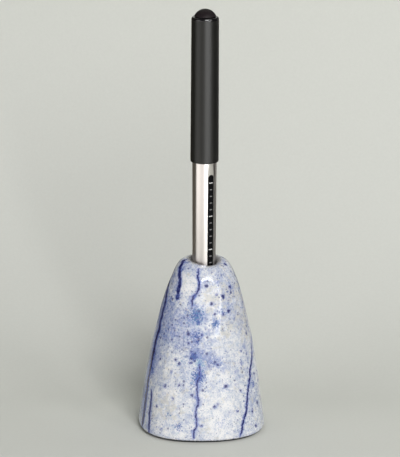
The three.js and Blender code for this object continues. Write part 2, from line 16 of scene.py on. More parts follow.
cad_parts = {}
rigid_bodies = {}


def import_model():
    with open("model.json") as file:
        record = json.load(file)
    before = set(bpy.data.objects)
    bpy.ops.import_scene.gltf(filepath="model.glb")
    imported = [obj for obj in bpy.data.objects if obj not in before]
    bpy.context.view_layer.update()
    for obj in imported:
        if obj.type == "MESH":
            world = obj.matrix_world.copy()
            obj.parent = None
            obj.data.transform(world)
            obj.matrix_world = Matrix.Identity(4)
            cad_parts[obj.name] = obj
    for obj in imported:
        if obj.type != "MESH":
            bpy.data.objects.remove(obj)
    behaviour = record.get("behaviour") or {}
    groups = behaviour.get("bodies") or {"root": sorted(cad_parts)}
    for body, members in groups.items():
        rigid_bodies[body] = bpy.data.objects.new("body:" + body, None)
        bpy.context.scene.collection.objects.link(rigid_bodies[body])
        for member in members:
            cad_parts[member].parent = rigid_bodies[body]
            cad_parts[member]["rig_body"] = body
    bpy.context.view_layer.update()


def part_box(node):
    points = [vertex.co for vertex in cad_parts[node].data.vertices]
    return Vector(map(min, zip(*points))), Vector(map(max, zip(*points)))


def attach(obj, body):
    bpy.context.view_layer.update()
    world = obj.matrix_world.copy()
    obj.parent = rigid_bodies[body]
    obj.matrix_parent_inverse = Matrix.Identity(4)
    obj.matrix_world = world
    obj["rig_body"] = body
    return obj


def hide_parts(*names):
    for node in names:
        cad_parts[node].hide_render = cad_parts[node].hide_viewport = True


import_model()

logging.basicConfig(level=logging.INFO, format="%(message)s")
LOG = logging.getLogger("pen_stand")

MM = 0.001
AXIS_Z = Vector((0.0, 0.0, 1.0))
Outline = list[tuple[float, float]]
Object = bpy.types.Object
Socket = bpy.types.NodeSocket
Tree = bpy.types.NodeTree


def linear(hex_colour: str) -> tuple[float, float, float, float]:
    """Turns an sRGB hex colour into the linear colour that shaders take.

    Args:
        hex_colour: A colour such as "#d8d9e4".

    Returns:
        Red, green, blue and an alpha of 1, in linear light.
    """
    channels = []
    for start in (1, 3, 5):
        value = int(hex_colour[start:start + 2], 16) / 255
        channels.append(value / 12.92 if value <= 0.04045 else ((value + 0.055) / 1.055) ** 2.4)
    return channels[0], channels[1], channels[2], 1.0


class Finish(Enum):
    """How round edges are shaded, by the angle past which an edge stays sharp."""

    SOFT = math.radians(50)
    CRISP = math.radians(28)


# Modelling


class Bench:
    """The modelling moves that several pieces share."""

    @staticmethod
    def clear() -> None:
        """Leaves edit mode and deselects everything."""
        if bpy.context.object and bpy.context.object.mode != "OBJECT":
            bpy.ops.object.mode_set(mode="OBJECT")
        bpy.ops.object.select_all(action="DESELECT")

    @staticmethod
    def take(piece: Object) -> None:
        """Selects one object alone and makes it active."""
        Bench.clear()
        piece.select_set(True)
        bpy.context.view_layer.objects.active = piece

    @staticmethod
    def apply(piece: Object) -> None:
        """Applies every modifier on a piece, in order."""
        Bench.take(piece)
        for modifier in list(piece.modifiers):
            bpy.ops.object.modifier_apply(modifier=modifier.name)

    @staticmethod
    def fix() -> None:
        """Puts the place, turn and scale of what is selected into its mesh."""
        bpy.ops.object.transform_apply(location=True, rotation=True, scale=True)

    @staticmethod
    def face_out() -> None:
        """In edit mode, turns every face outwards, then leaves edit mode."""
        bpy.ops.mesh.select_all(action="SELECT")
        bpy.ops.mesh.normals_make_consistent(inside=False)
        bpy.ops.object.mode_set(mode="OBJECT")

    @staticmethod
    def join(pieces: list[Object]) -> Object:
        """Joins objects into the first of them."""
        Bench.take(pieces[0])
        for piece in pieces[1:]:
            piece.select_set(True)
        bpy.ops.object.join()
        return pieces[0]

    @staticmethod
    def settle(piece: Object, name: str, finish: Finish = Finish.CRISP) -> None:
        """Names a piece, puts its place into its mesh and smooths its round faces.

        Args:
            piece: The finished shape.
            name: The name that it keeps.
            finish: Which edges stay sharp.
        """
        Bench.take(piece)
        Bench.fix()
        bpy.ops.object.shade_smooth_by_angle(angle=finish.value)
        piece.name = name
        piece.data.name = name

    @staticmethod
    def turned(outline: Outline, sides: int = 96) -> Object:
        """Turns a solid about Z by drawing a ring up its outline.

        Args:
            outline: (radius, height) in mm. A first or last radius of 0 closes that end,
                and an outline that ends where it starts closes on itself.
            sides: How many sides the ring has.

        Returns:
            The new object, still without a name.
        """
        closed = outline[0] == outline[-1]
        starts_on_axis = outline[0][0] == 0
        ends_on_axis = outline[-1][0] == 0
        rings = outline[1:] if starts_on_axis else outline
        rings = rings[:-1] if ends_on_axis else rings
        Bench.clear()
        radius, height = rings[0]
        bpy.ops.mesh.primitive_circle_add(
            vertices=sides,
            radius=radius * MM,
            fill_type="TRIFAN" if starts_on_axis else "NOTHING",
            location=AXIS_Z * height * MM,
        )
        piece = bpy.context.object
        bpy.ops.object.mode_set(mode="EDIT")
        if starts_on_axis:
            Bench.pick(piece, "EDGE", lambda edge: len(edge.link_faces) == 1)
        for new_radius, new_height in rings[1:]:
            bpy.ops.mesh.extrude_region_move(
                TRANSFORM_OT_translate={"value": (0, 0, (new_height - height) * MM)}
            )
            scale = new_radius / radius
            bpy.ops.transform.resize(
                value=(scale, scale, 1), center_override=AXIS_Z * new_height * MM
            )
            radius, height = new_radius, new_height
        if ends_on_axis:
            bpy.ops.mesh.extrude_region_move(
                TRANSFORM_OT_translate={"value": (0, 0, (outline[-1][1] - height) * MM)}
            )
            bpy.ops.mesh.merge(type="CENTER")
        if closed:
            bpy.ops.mesh.select_all(action="SELECT")
            bpy.ops.mesh.remove_doubles(threshold=1e-7)
        Bench.face_out()
        Bench.fix()
        return piece

    @staticmethod
    def pick(piece: Object, kind: str, wanted: Callable[..., bool]) -> None:
        """In edit mode, selects only what passes a test.

        Args:
            piece: The object that is in edit mode.
            kind: "VERT" for vertices, or "EDGE" for edges, which also sets the way of selecting.
            wanted: The test of one vertex or edge.
        """
        bpy.ops.mesh.select_all(action="DESELECT")
        if kind == "EDGE":
            bpy.ops.mesh.select_mode(type="EDGE")
        shape = bmesh.from_edit_mesh(piece.data)
        for part in shape.verts if kind == "VERT" else shape.edges:
            part.select = wanted(part)
        shape.select_flush_mode()
        bmesh.update_edit_mesh(piece.data)

    @staticmethod
    def cut(piece: Object, tool: Object, how: str = "DIFFERENCE") -> None:
        """Cuts a piece with a tool by a boolean and removes the tool."""
        modifier = piece.modifiers.new("cut", "BOOLEAN")
        modifier.object = tool
        modifier.operation = how
        modifier.solver = "EXACT"
        Bench.apply(piece)
        bpy.data.objects.remove(tool)


def tie(piece: Object, body: str, node: str) -> None:
    """Ties a finished piece to its body and hides the CAD node that it stands for."""
    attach(piece, body)
    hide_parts(node)
    LOG.info("made %s, %d faces", piece.name, len(piece.data.polygons))


def straight_tube(inner: float, outer: float, low: float, high: float) -> Outline:
    """The closed outline of a tube."""
    return [(inner, low), (outer, low), (outer, high), (inner, high), (inner, low)]


def arc(centre: tuple[float, float], size: tuple[float, float], span: tuple[float, float],
        steps: int = 6) -> Outline:
    """Points on part of an ellipse, for an outline.

    Args:
        centre: (radius, height) of its middle.
        size: Its half width and half height.
        span: Its first and last angle in degrees, from outwards towards up.
        steps: How many steps it has.

    Returns:
        The points, both ends among them.
    """
    points = []
    for index in range(steps + 1):
        angle = math.radians(span[0] + (span[1] - span[0]) * index / steps)
        points.append((centre[0] + size[0] * math.cos(angle), centre[1] + size[1] * math.sin(angle)))
    return points


def eased(outline: Outline, size: float = 0.12) -> Outline:
    """Rounds the outward corners of an outline that runs anticlockwise in (radius, height).

    Args:
        outline: The outline in mm, closed on itself or not.
        size: How far the rounding reaches from a corner, in mm.

    Returns:
        The outline with three points in place of each such corner.
    """
    closed = outline[0] == outline[-1]
    corners = outline[:-1] if closed else outline
    rounded = []
    for index, corner in enumerate(corners):
        at_end = not closed and index in (0, len(corners) - 1)
        here = Vector(corner)
        back = Vector(corners[index - 1]) - here
        ahead = Vector(corners[(index + 1) % len(corners)]) - here
        turns_left = back.x * ahead.y - back.y * ahead.x < 0
        if at_end or not turns_left or back.angle(ahead) > math.radians(150):
            rounded.append(corner)
            continue
        reach = min(size, back.length * 0.4, ahead.length * 0.4)
        first = here + back.normalized() * reach
        last = here + ahead.normalized() * reach
        rounded += [tuple(first), tuple(here * 0.5 + first * 0.25 + last * 0.25), tuple(last)]
    return rounded + rounded[:1] if closed else rounded


# Finishes


def add_node(tree: Tree, kind: str, settings: dict | None = None,
             links: dict | None = None) -> bpy.types.Node:
    """Adds a shader node with its settings and its links.

    Args:
        tree: The material's node tree.
        kind: The node's type.
        settings: Values by property name, or by input name or number.
        links: Sockets to link, by input name or number.

    Returns:
        The new node.
    """
    node = tree.nodes.new(kind)
    for key, value in (settings or {}).items():
        if isinstance(key, str) and hasattr(node, key):
            setattr(node, key, value)
        else:
            node.inputs[key].default_value = value
    for key, socket in (links or {}).items():
        tree.links.new(socket, node.inputs[key])
    return node


def fresh_tree(owner: bpy.types.ID) -> Tree:
    """Empties the nodes of a material or a world and returns its tree."""
    owner.use_nodes = True
    owner.node_tree.nodes.clear()
    return owner.node_tree


def add_noise(tree: Tree, size_mm: float, place: Socket, detail: float,
              roughness: float = 0.6) -> bpy.types.Node:
    """Adds a noise whose lumps have that size."""
    return add_node(
        tree, "ShaderNodeTexNoise",
        {"Scale": 1.0 / (size_mm * MM), "Detail": detail, "Roughness": roughness}, {"Vector": place},
    )


def add_range(tree: Tree, source: Socket, span: tuple[float, float],
              result: tuple[float, float], kind: str = "LINEAR") -> Socket:
    """Maps a socket from one span of values to another, by a straight or a smooth step."""
    return add_node(
        tree, "ShaderNodeMapRange",
        {"interpolation_type": kind, "From Min": span[0], "From Max": span[1], "To Min": result[0],
         "To Max": result[1]},
        {"Value": source},
    ).outputs["Result"]


def add_shader(tree: Tree, settings: dict, links: dict) -> None:
    """Ends a material's tree with its shader and its output."""
    shader = add_node(tree, "ShaderNodeBsdfPrincipled", settings, links)
    add_node(tree, "ShaderNodeOutputMaterial", links={"Surface": shader.outputs["BSDF"]})


def calculate(tree: Tree, operation: str, *sockets: Socket) -> Socket:
    """Works out a value from one or two others."""
    return add_node(
        tree, "ShaderNodeMath", {"operation": operation}, dict(enumerate(sockets))
    ).outputs[0]


def ramp(tree: Tree, source: Socket, stops: list[tuple[float, str]]) -> Socket:
    """Colours a value by stops of (place, hex colour), and returns the colour's socket."""
    node = add_node(tree, "ShaderNodeValToRGB", links={0: source})
    band = node.color_ramp
    while len(band.elements) < len(stops):
        band.elements.new(0.5)
    for element, (place, colour) in zip(band.elements, stops):
        element.position = place
        element.color = linear(colour)
    return node.outputs["Color"]


@dataclass(frozen=True)
class PlainFinish:
    """A finish with one colour, broken up by a fine grain in its tone, roughness and bump.

    Attributes:
        name: The material's name.
        colour: Its sRGB hex colour.
        second: The colour that the grain drifts to.
        roughness: The least roughness.
        roughness_spread: How much the grain adds to it.
        metallic: 1 for bare metal and 0 otherwise.
        grain_mm: The grain's size.
        stretch: How much longer the grain is along Z than across it.
        bump_mm: The bump's depth.
        sheen: The weight of sheen.
        ior: The index of refraction.
        turned: How much turning marks round Z spread its gloss along Z, up to 1.
    """

    name: str
    colour: str
    second: str
    roughness: float
    roughness_spread: float = 0.06
    metallic: float = 0.0
    grain_mm: float = 0.4
    stretch: float = 1.0
    bump_mm: float = 0.004
    sheen: float = 0.0
    ior: float = 1.5
    turned: float = 0.0

    def build(self) -> bpy.types.Material:
        """Makes the material."""
        material = bpy.data.materials.new(self.name)
        tree = fresh_tree(material)
        place = add_node(tree, "ShaderNodeTexCoord").outputs["Object"]
        mapped = add_node(
            tree, "ShaderNodeMapping", {"Scale": (1.0, 1.0, 1.0 / self.stretch)}, {"Vector": place}
        ).outputs["Vector"]
        grain = add_noise(tree, self.grain_mm, mapped, 4.0).outputs["Fac"]
        colour = ramp(tree, grain, [(0.3, self.colour), (0.7, self.second)])
        rough = add_range(
            tree, grain, (0.3, 0.7), (self.roughness, self.roughness + self.roughness_spread)
        )
        bump = add_node(
            tree, "ShaderNodeBump", {"Strength": 0.5, "Distance": self.bump_mm * MM}, {"Height": grain}
        ).outputs["Normal"]
        links = {"Base Color": colour, "Roughness": rough, "Normal": bump}
        if self.turned:
            links["Tangent"] = add_node(tree, "ShaderNodeCombineXYZ", {"Z": 1.0}).outputs[0]
        add_shader(
            tree,
            {"Metallic": self.metallic, "Sheen Weight": self.sheen, "IOR": self.ior,
             "Anisotropic": self.turned},
            links,
        )
        return material


# Anodised aluminium, satin: fine turning marks round it spread the light along it
BARREL_FINISH = PlainFinish(
    "satin_anodised_aluminium", "#e6e1de", "#eeeae6", 0.27, 0.04, metallic=1.0,
    grain_mm=0.12, bump_mm=0.0008, turned=0.9,
)
# Black anodised aluminium, turned: a wide soft sheen along it
CAP_FINISH = PlainFinish(
    "black_anodised_aluminium", "#151513", "#191917", 0.44, 0.04, grain_mm=0.25, bump_mm=0.0015,
    ior=1.54, turned=0.85,
)
# The same metal, polished where the shoulder is rounded off
EDGE_FINISH = PlainFinish(
    "polished_black_edge", "#121012", "#151315", 0.12, 0.03, grain_mm=0.3, bump_mm=0.0005,
)
# Satin acrylic, nearly black with a trace of plum
DOME_FINISH = PlainFinish(
    "satin_dark_acrylic", "#1c1719", "#211a1c", 0.45, 0.06, grain_mm=0.5, bump_mm=0.004, ior=1.25,
)
# Moulded ABS, satin black: the strip in the slot
STRIP_FINISH = PlainFinish(
    "satin_black_abs", "#08080a", "#0e0e10", 0.6, 0.08, grain_mm=0.3, bump_mm=0.003, ior=1.15,
)
# Screen-printing ink: white, flat and slightly uneven
INK_FINISH = PlainFinish(
    "white_screen_ink", "#d6d6d4", "#e2e2e0", 0.6, 0.1, grain_mm=0.2, bump_mm=0.004,
)
# The same ink on the short marks, printed thinner and rubbed grey
WORN_INK_FINISH = PlainFinish(
    "worn_screen_ink", "#828282", "#9c9c9b", 0.6, 0.1, grain_mm=0.2, bump_mm=0.004,
)
# Moulded acetal: the black plastics of the pen's inside and its ends
PLASTIC_FINISH = PlainFinish(
    "moulded_black_acetal", "#1a1a1b", "#202021", 0.42, 0.1, grain_mm=0.35, bump_mm=0.005,
)
# Natural polypropylene: the milky plug of the refill
MILKY_FINISH = PlainFinish(
    "milky_polypropylene", "#d3d3cb", "#dcdcd5", 0.45, 0.1, grain_mm=0.6, bump_mm=0.005,
)
# Turned brass: warm, with fine turning marks
BRASS_FINISH = PlainFinish(
    "turned_brass", "#c79f55", "#d2ac66", 0.22, 0.12, metallic=1.0, grain_mm=0.15, stretch=0.2,
    bump_mm=0.002,
)
# Chromed brass: the nose, a clean mirror
CHROME_FINISH = PlainFinish(
    "polished_chrome", "#d6d7da", "#dcdde0", 0.08, 0.03, metallic=1.0, grain_mm=0.8, bump_mm=0.0005,
)
# Drawn stainless steel: the refill, its spring, the clutch ring and the screw
STEEL_FINISH = PlainFinish(
    "drawn_stainless_steel", "#b9bbbe", "#c6c8cb", 0.24, 0.1, metallic=1.0, grain_mm=0.12,
    stretch=12.0, bump_mm=0.0015,
)
# Wool felt: dark, matt, with fibres that catch light at the edge
FELT_FINISH = PlainFinish(
    "dark_wool_felt", "#1b1c20", "#2e2f34", 0.92, 0.06, grain_mm=0.35, bump_mm=0.12, sheen=0.3,
)


# The ceramic body


@dataclass(frozen=True)
class BodySizes:
    """The ceramic body's sizes in mm, as in the CAD model."""

    foot_radius: float = 28.1
    height: float = 75.9
    bottom: float = 0.8
    foot_rounding: float = 1.2
    lean: float = -0.9
    squareness: float = 0.58
    squareness_turn: float = 5.0
    swell: float = 1.2
    swell_turn: float = 8.0
    swell_angle: float = 28.0
    foot_shape_height: float = 42.0
    crown_drop: float = 1.6
    crown_drop_turn: float = 28.0
    crown_drop_angle: float = 42.0
    crown_band: float = 14.0
    socket_radius: float = 5.56
    socket_depth: float = 28.0
    mouth_rounding: float = 1.7
    socket_wall: float = 3.4
    socket_end: float = 4.0
    wall: float = 5.0
    hollow_spring: float = 57.0
    hollow_rise: float = 2.5
    pad_inset: float = 1.8
    pad_thickness: float = 0.6
    undulation: float = 0.22
    facet_turn: float = 8.5
    facet_lift: float = 18.5
    facet_height: float = 61.6
    facet_out: float = 15.6
    facet_softness: float = 0.24
    flank: tuple = (
        (0.0, 1.0), (0.155, 0.913), (0.331, 0.828), (0.507, 0.71), (0.67, 0.58), (0.806, 0.442),
        (0.901, 0.322), (0.955, 0.23), (0.988, 0.13), (1.0, 0.0),
    )


def read_vectors(mesh: bpy.types.Mesh, name: str) -> np.ndarray:
    """Reads a vector of each vertex, such as its place or its normal, one row each."""
    values = np.empty(len(mesh.vertices) * 3)
    mesh.vertices.foreach_get(name, values)
    return values.reshape(-1, 3)


def smooth_step(value: np.ndarray, low: float, high: float) -> np.ndarray:
    """A smooth step from 0 to 1 as the value goes from low to high."""
    share = np.clip((value - low) / (high - low), 0, 1)
    return share * share * (3 - 2 * share)


def bell(turn: np.ndarray, middle: float, spread: float) -> np.ndarray:
    """A smooth hump round a body: 1 at its middle, falling off over its spread.

    Args:
        turn: Turns in radians.
        middle: The hump's turn in degrees.
        spread: How far it reaches, in degrees.

    Returns:
        The hump's height at each turn, from 0 to 1.
    """
    away = (np.degrees(turn) - middle + 180) % 360 - 180
    return np.exp(-((away / spread) ** 2) / 2)


class BodyForm:
    """The body's shape: a turned outline, then a squarer foot, a belly, a lean and a sloping crown."""

    SIDES = 66
    FLANK_STEPS = 50

    def __init__(self, sizes: BodySizes) -> None:
        self.sizes = sizes
        self.crest_radius = sizes.socket_radius + sizes.mouth_rounding
        self.foot_top = sizes.bottom + sizes.foot_rounding
        self.side = self.flank()

    def flank(self) -> Outline:
        """The smooth line from the foot's top edge up to the crest, through the CAD model's points."""
        rise = self.sizes.height - self.foot_top
        narrowing = self.sizes.foot_radius - self.crest_radius
        knots = [
            Vector((self.crest_radius + narrowing * out, self.foot_top + rise * up))
            for up, out in self.sizes.flank
        ]
        knots = [knots[0], *knots, knots[-1]]
        points = []
        spans = len(knots) - 3
        for step in range(self.FLANK_STEPS + 1):
            place = min(step * spans / self.FLANK_STEPS, spans - 1e-6)
            first = int(place)
            share = place - first
            before, start, end, after = knots[first:first + 4]
            point = 0.5 * (
                2 * start
                + (end - before) * share
                + (2 * before - 5 * start + 4 * end - after) * share**2
                + (3 * start - before - 3 * end + after) * share**3
            )
            points.append((point.x, point.y))
        return points

    def hollow(self) -> Outline:
        """The hollow's outline: out from the axis under the socket, up its tube, down inside the wall."""
        sizes = self.sizes
        tube = sizes.socket_radius + sizes.socket_wall
        end = sizes.height - sizes.socket_depth - sizes.socket_end
        inside = [(r - sizes.wall, z) for r, z in self.side if z < sizes.hollow_spring][::-6]
        spring_radius, spring = inside[0]
        half = (spring_radius - tube) / 2
        return [
            (0, end), *arc((tube - 1.5, end + 1.5), (1.5, 1.5), (-90, 0), 3),
            *arc((tube + half, spring), (half, sizes.hollow_rise), (180, 0), 5), *inside[1:],
            (sizes.foot_radius - sizes.wall, sizes.bottom + 0.4),
            (sizes.foot_radius - sizes.wall + 0.4, sizes.bottom),
        ]

    def outline(self) -> Outline:
        """The whole outline, from the hollow round the foot to the socket's floor."""
        sizes = self.sizes
        floor = sizes.height - sizes.socket_depth
        foot = arc(
            (sizes.foot_radius - sizes.foot_rounding, self.foot_top),
            (sizes.foot_rounding, sizes.foot_rounding), (-90, 0), 7,
        )
        mouth = arc(
            (self.crest_radius, sizes.height - sizes.mouth_rounding),
            (sizes.mouth_rounding, sizes.mouth_rounding), (90, 180), 7,
        )
        return [
            *self.hollow(), *foot, *self.side[1:-1], *mouth, (sizes.socket_radius, floor + 14),
            (sizes.socket_radius, floor + 0.3), (sizes.socket_radius, floor),
            (sizes.socket_radius - 0.3, floor), (0, floor),
        ]

    def plan(self, radius: np.ndarray, turn: np.ndarray, strength: np.ndarray) -> np.ndarray:
        """How far the edge lies out at a turn, for a round radius.

        Args:
            radius: Radii in mm.
            turn: Turns in radians, from the front towards the right.
            strength: 1 where the foot's shape shows fully and 0 where the plan is round.

        Returns:
            The new radii in mm.
        """
        sizes = self.sizes
        exponent = 2 + sizes.squareness * strength
        square_turn = turn - math.radians(sizes.squareness_turn)
        total = np.abs(np.cos(square_turn)) ** exponent + np.abs(np.sin(square_turn)) ** exponent
        swell = sizes.swell * bell(turn, sizes.swell_turn, sizes.swell_angle)
        return radius * total ** (-1 / exponent) + swell * strength

    def shape(self, places: np.ndarray) -> np.ndarray:
        """Moves points of the turned form onto the body.

        Args:
            places: Points in mm, one row each.

        Returns:
            The moved points.
        """
        sizes = self.sizes
        radius = np.hypot(places[:, 0], places[:, 1])
        turn = np.arctan2(places[:, 0], -places[:, 1])
        height = places[:, 2]
        skin = smooth_step(radius, sizes.socket_radius, sizes.socket_radius + 2 * sizes.mouth_rounding)
        strength = 1 - smooth_step(height, sizes.bottom, sizes.foot_shape_height)
        plan = radius + (self.plan(radius, turn, strength) - radius) * skin
        lean = sizes.lean * skin * (1 - height / sizes.height)
        low_side = bell(turn, sizes.crown_drop_turn, sizes.crown_drop_angle)
        drop = sizes.crown_drop * low_side * smooth_step(
            height, sizes.height - sizes.crown_band, sizes.height
        )
        moved = np.stack(
            [plan * np.sin(turn) + lean, -plan * np.cos(turn), height - drop], axis=1
        )
        return self.flatten(moved)

    def flatten(self, places: np.ndarray) -> np.ndarray:
        """Presses the soft facet, made when the body was formed, into the front under the crown.

        Args:
            places: Points in mm, one row each.

        Returns:
            The moved points.
        """
        sizes = self.sizes
        turn, lift = math.radians(sizes.facet_turn), math.radians(sizes.facet_lift)
        level = np.array([math.sin(turn), -math.cos(turn), 0.0])
        facing = level * math.cos(lift) + np.array([0.0, 0.0, math.sin(lift)])
        middle = level * sizes.facet_out + np.array([0.0, 0.0, sizes.facet_height])
        proud = (places - middle) @ facing
        push = 0.5 * (proud + np.sqrt(proud**2 + sizes.facet_softness**2))
        return places - facing * (push * (push > 0.01))[:, None]

    def on_flank(self, turn: np.ndarray, height: np.ndarray) -> np.ndarray:
        """Points on the body's side.

        Args:
            turn: Degrees from the front towards the right.
            height: Heights in mm.

        Returns:
            The points in mm, one row each.
        """
        heights = [point[1] for point in self.side]
        radii = [point[0] for point in self.side]
        radius = np.interp(height, heights, radii)
        angle = np.radians(turn)
        return self.shape(np.stack([radius * np.sin(angle), -radius * np.cos(angle), height], axis=1))


@dataclass(frozen=True)
class Run:
    """A dark run in the glaze.

    Attributes:
        points: (turn in degrees from the front towards the right, height in mm) down its length.
        width: Its width in mm.
        haze: How much blue haze lies round it, up to 1.
    """

    points: tuple
    width: float
    haze: float = 0.35


@dataclass(frozen=True)
class Patch:
    """A soft stain in the glaze, broken up into specks.

    Attributes:
        turn: Degrees from the front towards the right.
        height: Its height in mm.
        radius: Its radius in mm.
        blue: How strong its blue is, about 1 at most.
        teal: How strong its teal is, up to 1.
    """

    turn: float
    height: float
    radius: float
    blue: float = 0.8
    teal: float = 0.0


# The runs that the photographed front shows, then those round the sides and the back in the same manner
RUNS = (
    Run(((-80, 76), (-66, 74.5), (-60, 73), (-54, 71), (-50, 69), (-46, 65.5), (-44, 62)), 1.6, 0.6),
    Run(((-16, 75), (-13, 72), (-10, 70), (-7, 67), (-10, 64.5), (-15, 63), (-17, 61.5), (-18, 59)),
        0.75, 0.45),
    Run(((-90, 66), (-77, 62), (-71, 57), (-68, 50), (-68, 45), (-71, 39), (-73, 31)), 1.8, 0.95),
    Run(((-69, 38), (-70, 31), (-70, 25), (-69, 19), (-67, 14), (-65, 8), (-63, 2)), 2.6, 1.0),
    Run(((-59, 19.5), (-55, 16.5), (-53, 10.5), (-50, 2)), 1.15, 0.5),
    Run(((-4, 34.5), (-4, 30), (-5, 24), (-4, 17), (-5, 12), (-4, 8), (-7, 5.5), (-7, 2)), 0.5, 0.5),
    Run(((83, 42), (77, 37), (69, 33), (60, 29.5), (54, 25), (49, 20), (45, 15), (41, 10), (38, 5.5),
         (34, 2)), 0.9, 0.35),
    Run(((100, 68), (105, 60), (103, 52), (108, 45)), 1.1, 0.5),
    Run(((112, 30), (109, 22), (113, 13), (110, 2)), 1.2, 0.4),
    Run(((138, 48), (133, 40), (136, 30), (131, 20), (134, 9), (131, 2)), 1.0, 0.4),
    Run(((150, 75), (156, 69), (160, 62), (158, 56)), 1.4, 0.6),
    Run(((170, 40), (173, 31), (169, 22), (172, 12), (170, 2)), 1.3, 0.5),
    Run(((-164, 62), (-160, 55), (-163, 47), (-159, 40)), 0.9, 0.4),
    Run(((-150, 34), (-154, 26), (-151, 17), (-155, 8), (-153, 2)), 1.1, 0.4),
    Run(((-124, 71), (-119, 64), (-121, 56), (-116, 49), (-118, 42)), 1.2, 0.6),
    Run(((-112, 26), (-108, 18), (-111, 10), (-107, 2)), 1.2, 0.5),
)

# Stains, first those of the photographed front
PATCHES = (
    Patch(-44, 61.5, 1.5, 1.0), Patch(-15, 63, 1.2, 0.9), Patch(-9, 55, 4.2, 0.8, 0.55),
    Patch(-6, 52, 1.4, 0.9), Patch(-7, 46.5, 3.2, 0.65), Patch(-6, 44, 1.2, 0.8),
    Patch(-10, 37.5, 2.0, 1.05), Patch(-3, 35, 2.6, 0.3, 0.8), Patch(-4, 29, 3.6, 0.9, 0.35),
    Patch(17, 51.5, 2.2, 0.9, 0.55), Patch(-62, 44, 7.0, 0.42), Patch(-60, 58, 5.0, 0.4),
    Patch(-66, 28, 4.0, 0.6), Patch(-80, 34, 8.0, 0.8), Patch(-78, 16, 6.0, 0.75),
    Patch(-56, 73, 2.6, 0.55), Patch(-30, 12, 2.2, 0.55, 0.35), Patch(-60, 75.5, 2.2, 0.6),
    Patch(-20, 7, 2.3, 0.65, 0.2), Patch(-24, 34.5, 2.6, 0.4, 0.3), Patch(18, 34.5, 3.2, 0.35),
    Patch(8, 35, 2.4, 0.4), Patch(24, 24.5, 2.6, 0.35), Patch(18, 9, 2.6, 0.4), Patch(30, 56, 2.0, 0.5),
    Patch(58, 66, 3.0, 0.35), Patch(60, 22, 1.3, 0.8), Patch(108, 40, 4.5, 0.7, 0.3),
    Patch(132, 55, 3.5, 0.6), Patch(160, 52, 4.0, 0.7, 0.4), Patch(150, 22, 2.6, 0.6),
    Patch(-170, 22, 3.6, 0.6, 0.5), Patch(-140, 50, 5.0, 0.45), Patch(-158, 38, 2.4, 0.9),
    Patch(-120, 38, 3.2, 0.7, 0.3), Patch(-132, 14, 3.0, 0.6), Patch(-100, 48, 5.0, 0.4),
    Patch(95, 14, 3.0, 0.45), Patch(178, 8, 2.6, 0.5, 0.3),
)

# Single dark spots: (turn, height, radius), first those of the photographed front
SPOTS = (
    (-44, 61.6, 1.25), (32, 62.5, 0.8), (28, 55, 0.6), (38, 56, 0.8), (66, 44, 0.7), (17, 34, 0.6),
    (7, 34, 0.5), (-26, 34, 0.7), (-31, 35.5, 0.6), (-18, 47, 0.7), (24, 24.5, 0.9), (40, 21.5, 0.6),
    (62, 13.5, 0.9), (12, 16, 0.7), (15, 17, 0.5), (-39, 23.5, 0.8), (-23, 25, 0.6), (71, 75, 0.8),
    (5, 68, 0.8), (13, 60, 0.8), (53, 4.5, 0.7), (-45, 14, 0.6), (0, 8, 0.5), (34, 13, 0.5),
    (-34, 30, 0.5), (46, 33, 0.5), (50, 66, 0.6), (-10, 21, 0.6), (-28, 19, 0.5), (66, 26, 0.7),
)


# Wide zones of blue haze: (turn, height, radius in mm, strength)
HAZES = (
    (-76, 52, 14, 0.75), (-82, 32, 13, 1.15), (-62, 67, 7, 0.55), (-78, 12, 9, 0.95), (-38, 50, 11, 0.55),
    (-8, 42, 6, 0.35), (100, 60, 9, 0.3), (125, 30, 13, 0.45), (165, 55, 14, 0.6), (-155, 20, 14, 0.5),
    (-118, 60, 12, 0.65), (-120, 22, 10, 0.5), (150, 10, 9, 0.4),
)


# Where specks crowd, above 0, and where the glaze is clear, below 0: (turn, height, radius, share)
CROWDS = (
    (-26, 69, 4.4, -1.6), (10, 64, 4.2, -1.0), (-42, 33, 6.0, -0.8), (-22, 34, 4.0, -0.6),
    (-35, 17, 7.0, -0.8), (-22, 6, 5.0, -0.7), (12, 11, 9.0, -1.0), (26, 21, 7.0, -0.8),
    (30, 42, 7.0, -0.5), (8, 50, 4.0, -0.4), (-35, 48, 11.0, 0.8), (38, 62, 9.0, 0.6),
    (-8, 38, 6.0, 0.7), (14, 36, 5.0, 0.5), (58, 20, 7.0, 0.6), (5, 72, 5.0, 0.5),
    (110, 20, 12.0, -0.8), (95, 50, 9.0, 0.6), (140, 60, 8.0, -0.7), (155, 35, 10.0, 0.7),
    (-175, 60, 7.0, -0.8), (-160, 12, 9.0, -0.7), (-140, 35, 10.0, 0.6), (-112, 40, 7.0, -0.8),
    (-115, 12, 8.0, 0.6), (175, 18, 8.0, 0.5),
)


# Where the glaze is warmer, towards ivory and olive: (turn, height, radius)
WARM_ZONES = (
    (48, 62, 9.0), (68, 50, 9.0), (28, 52, 6.0), (-32, 15, 6.0), (14, 62, 5.0), (130, 66, 9.0),
    (175, 30, 10.0), (-145, 62, 9.0), (-100, 20, 9.0), (115, 12, 8.0),
)


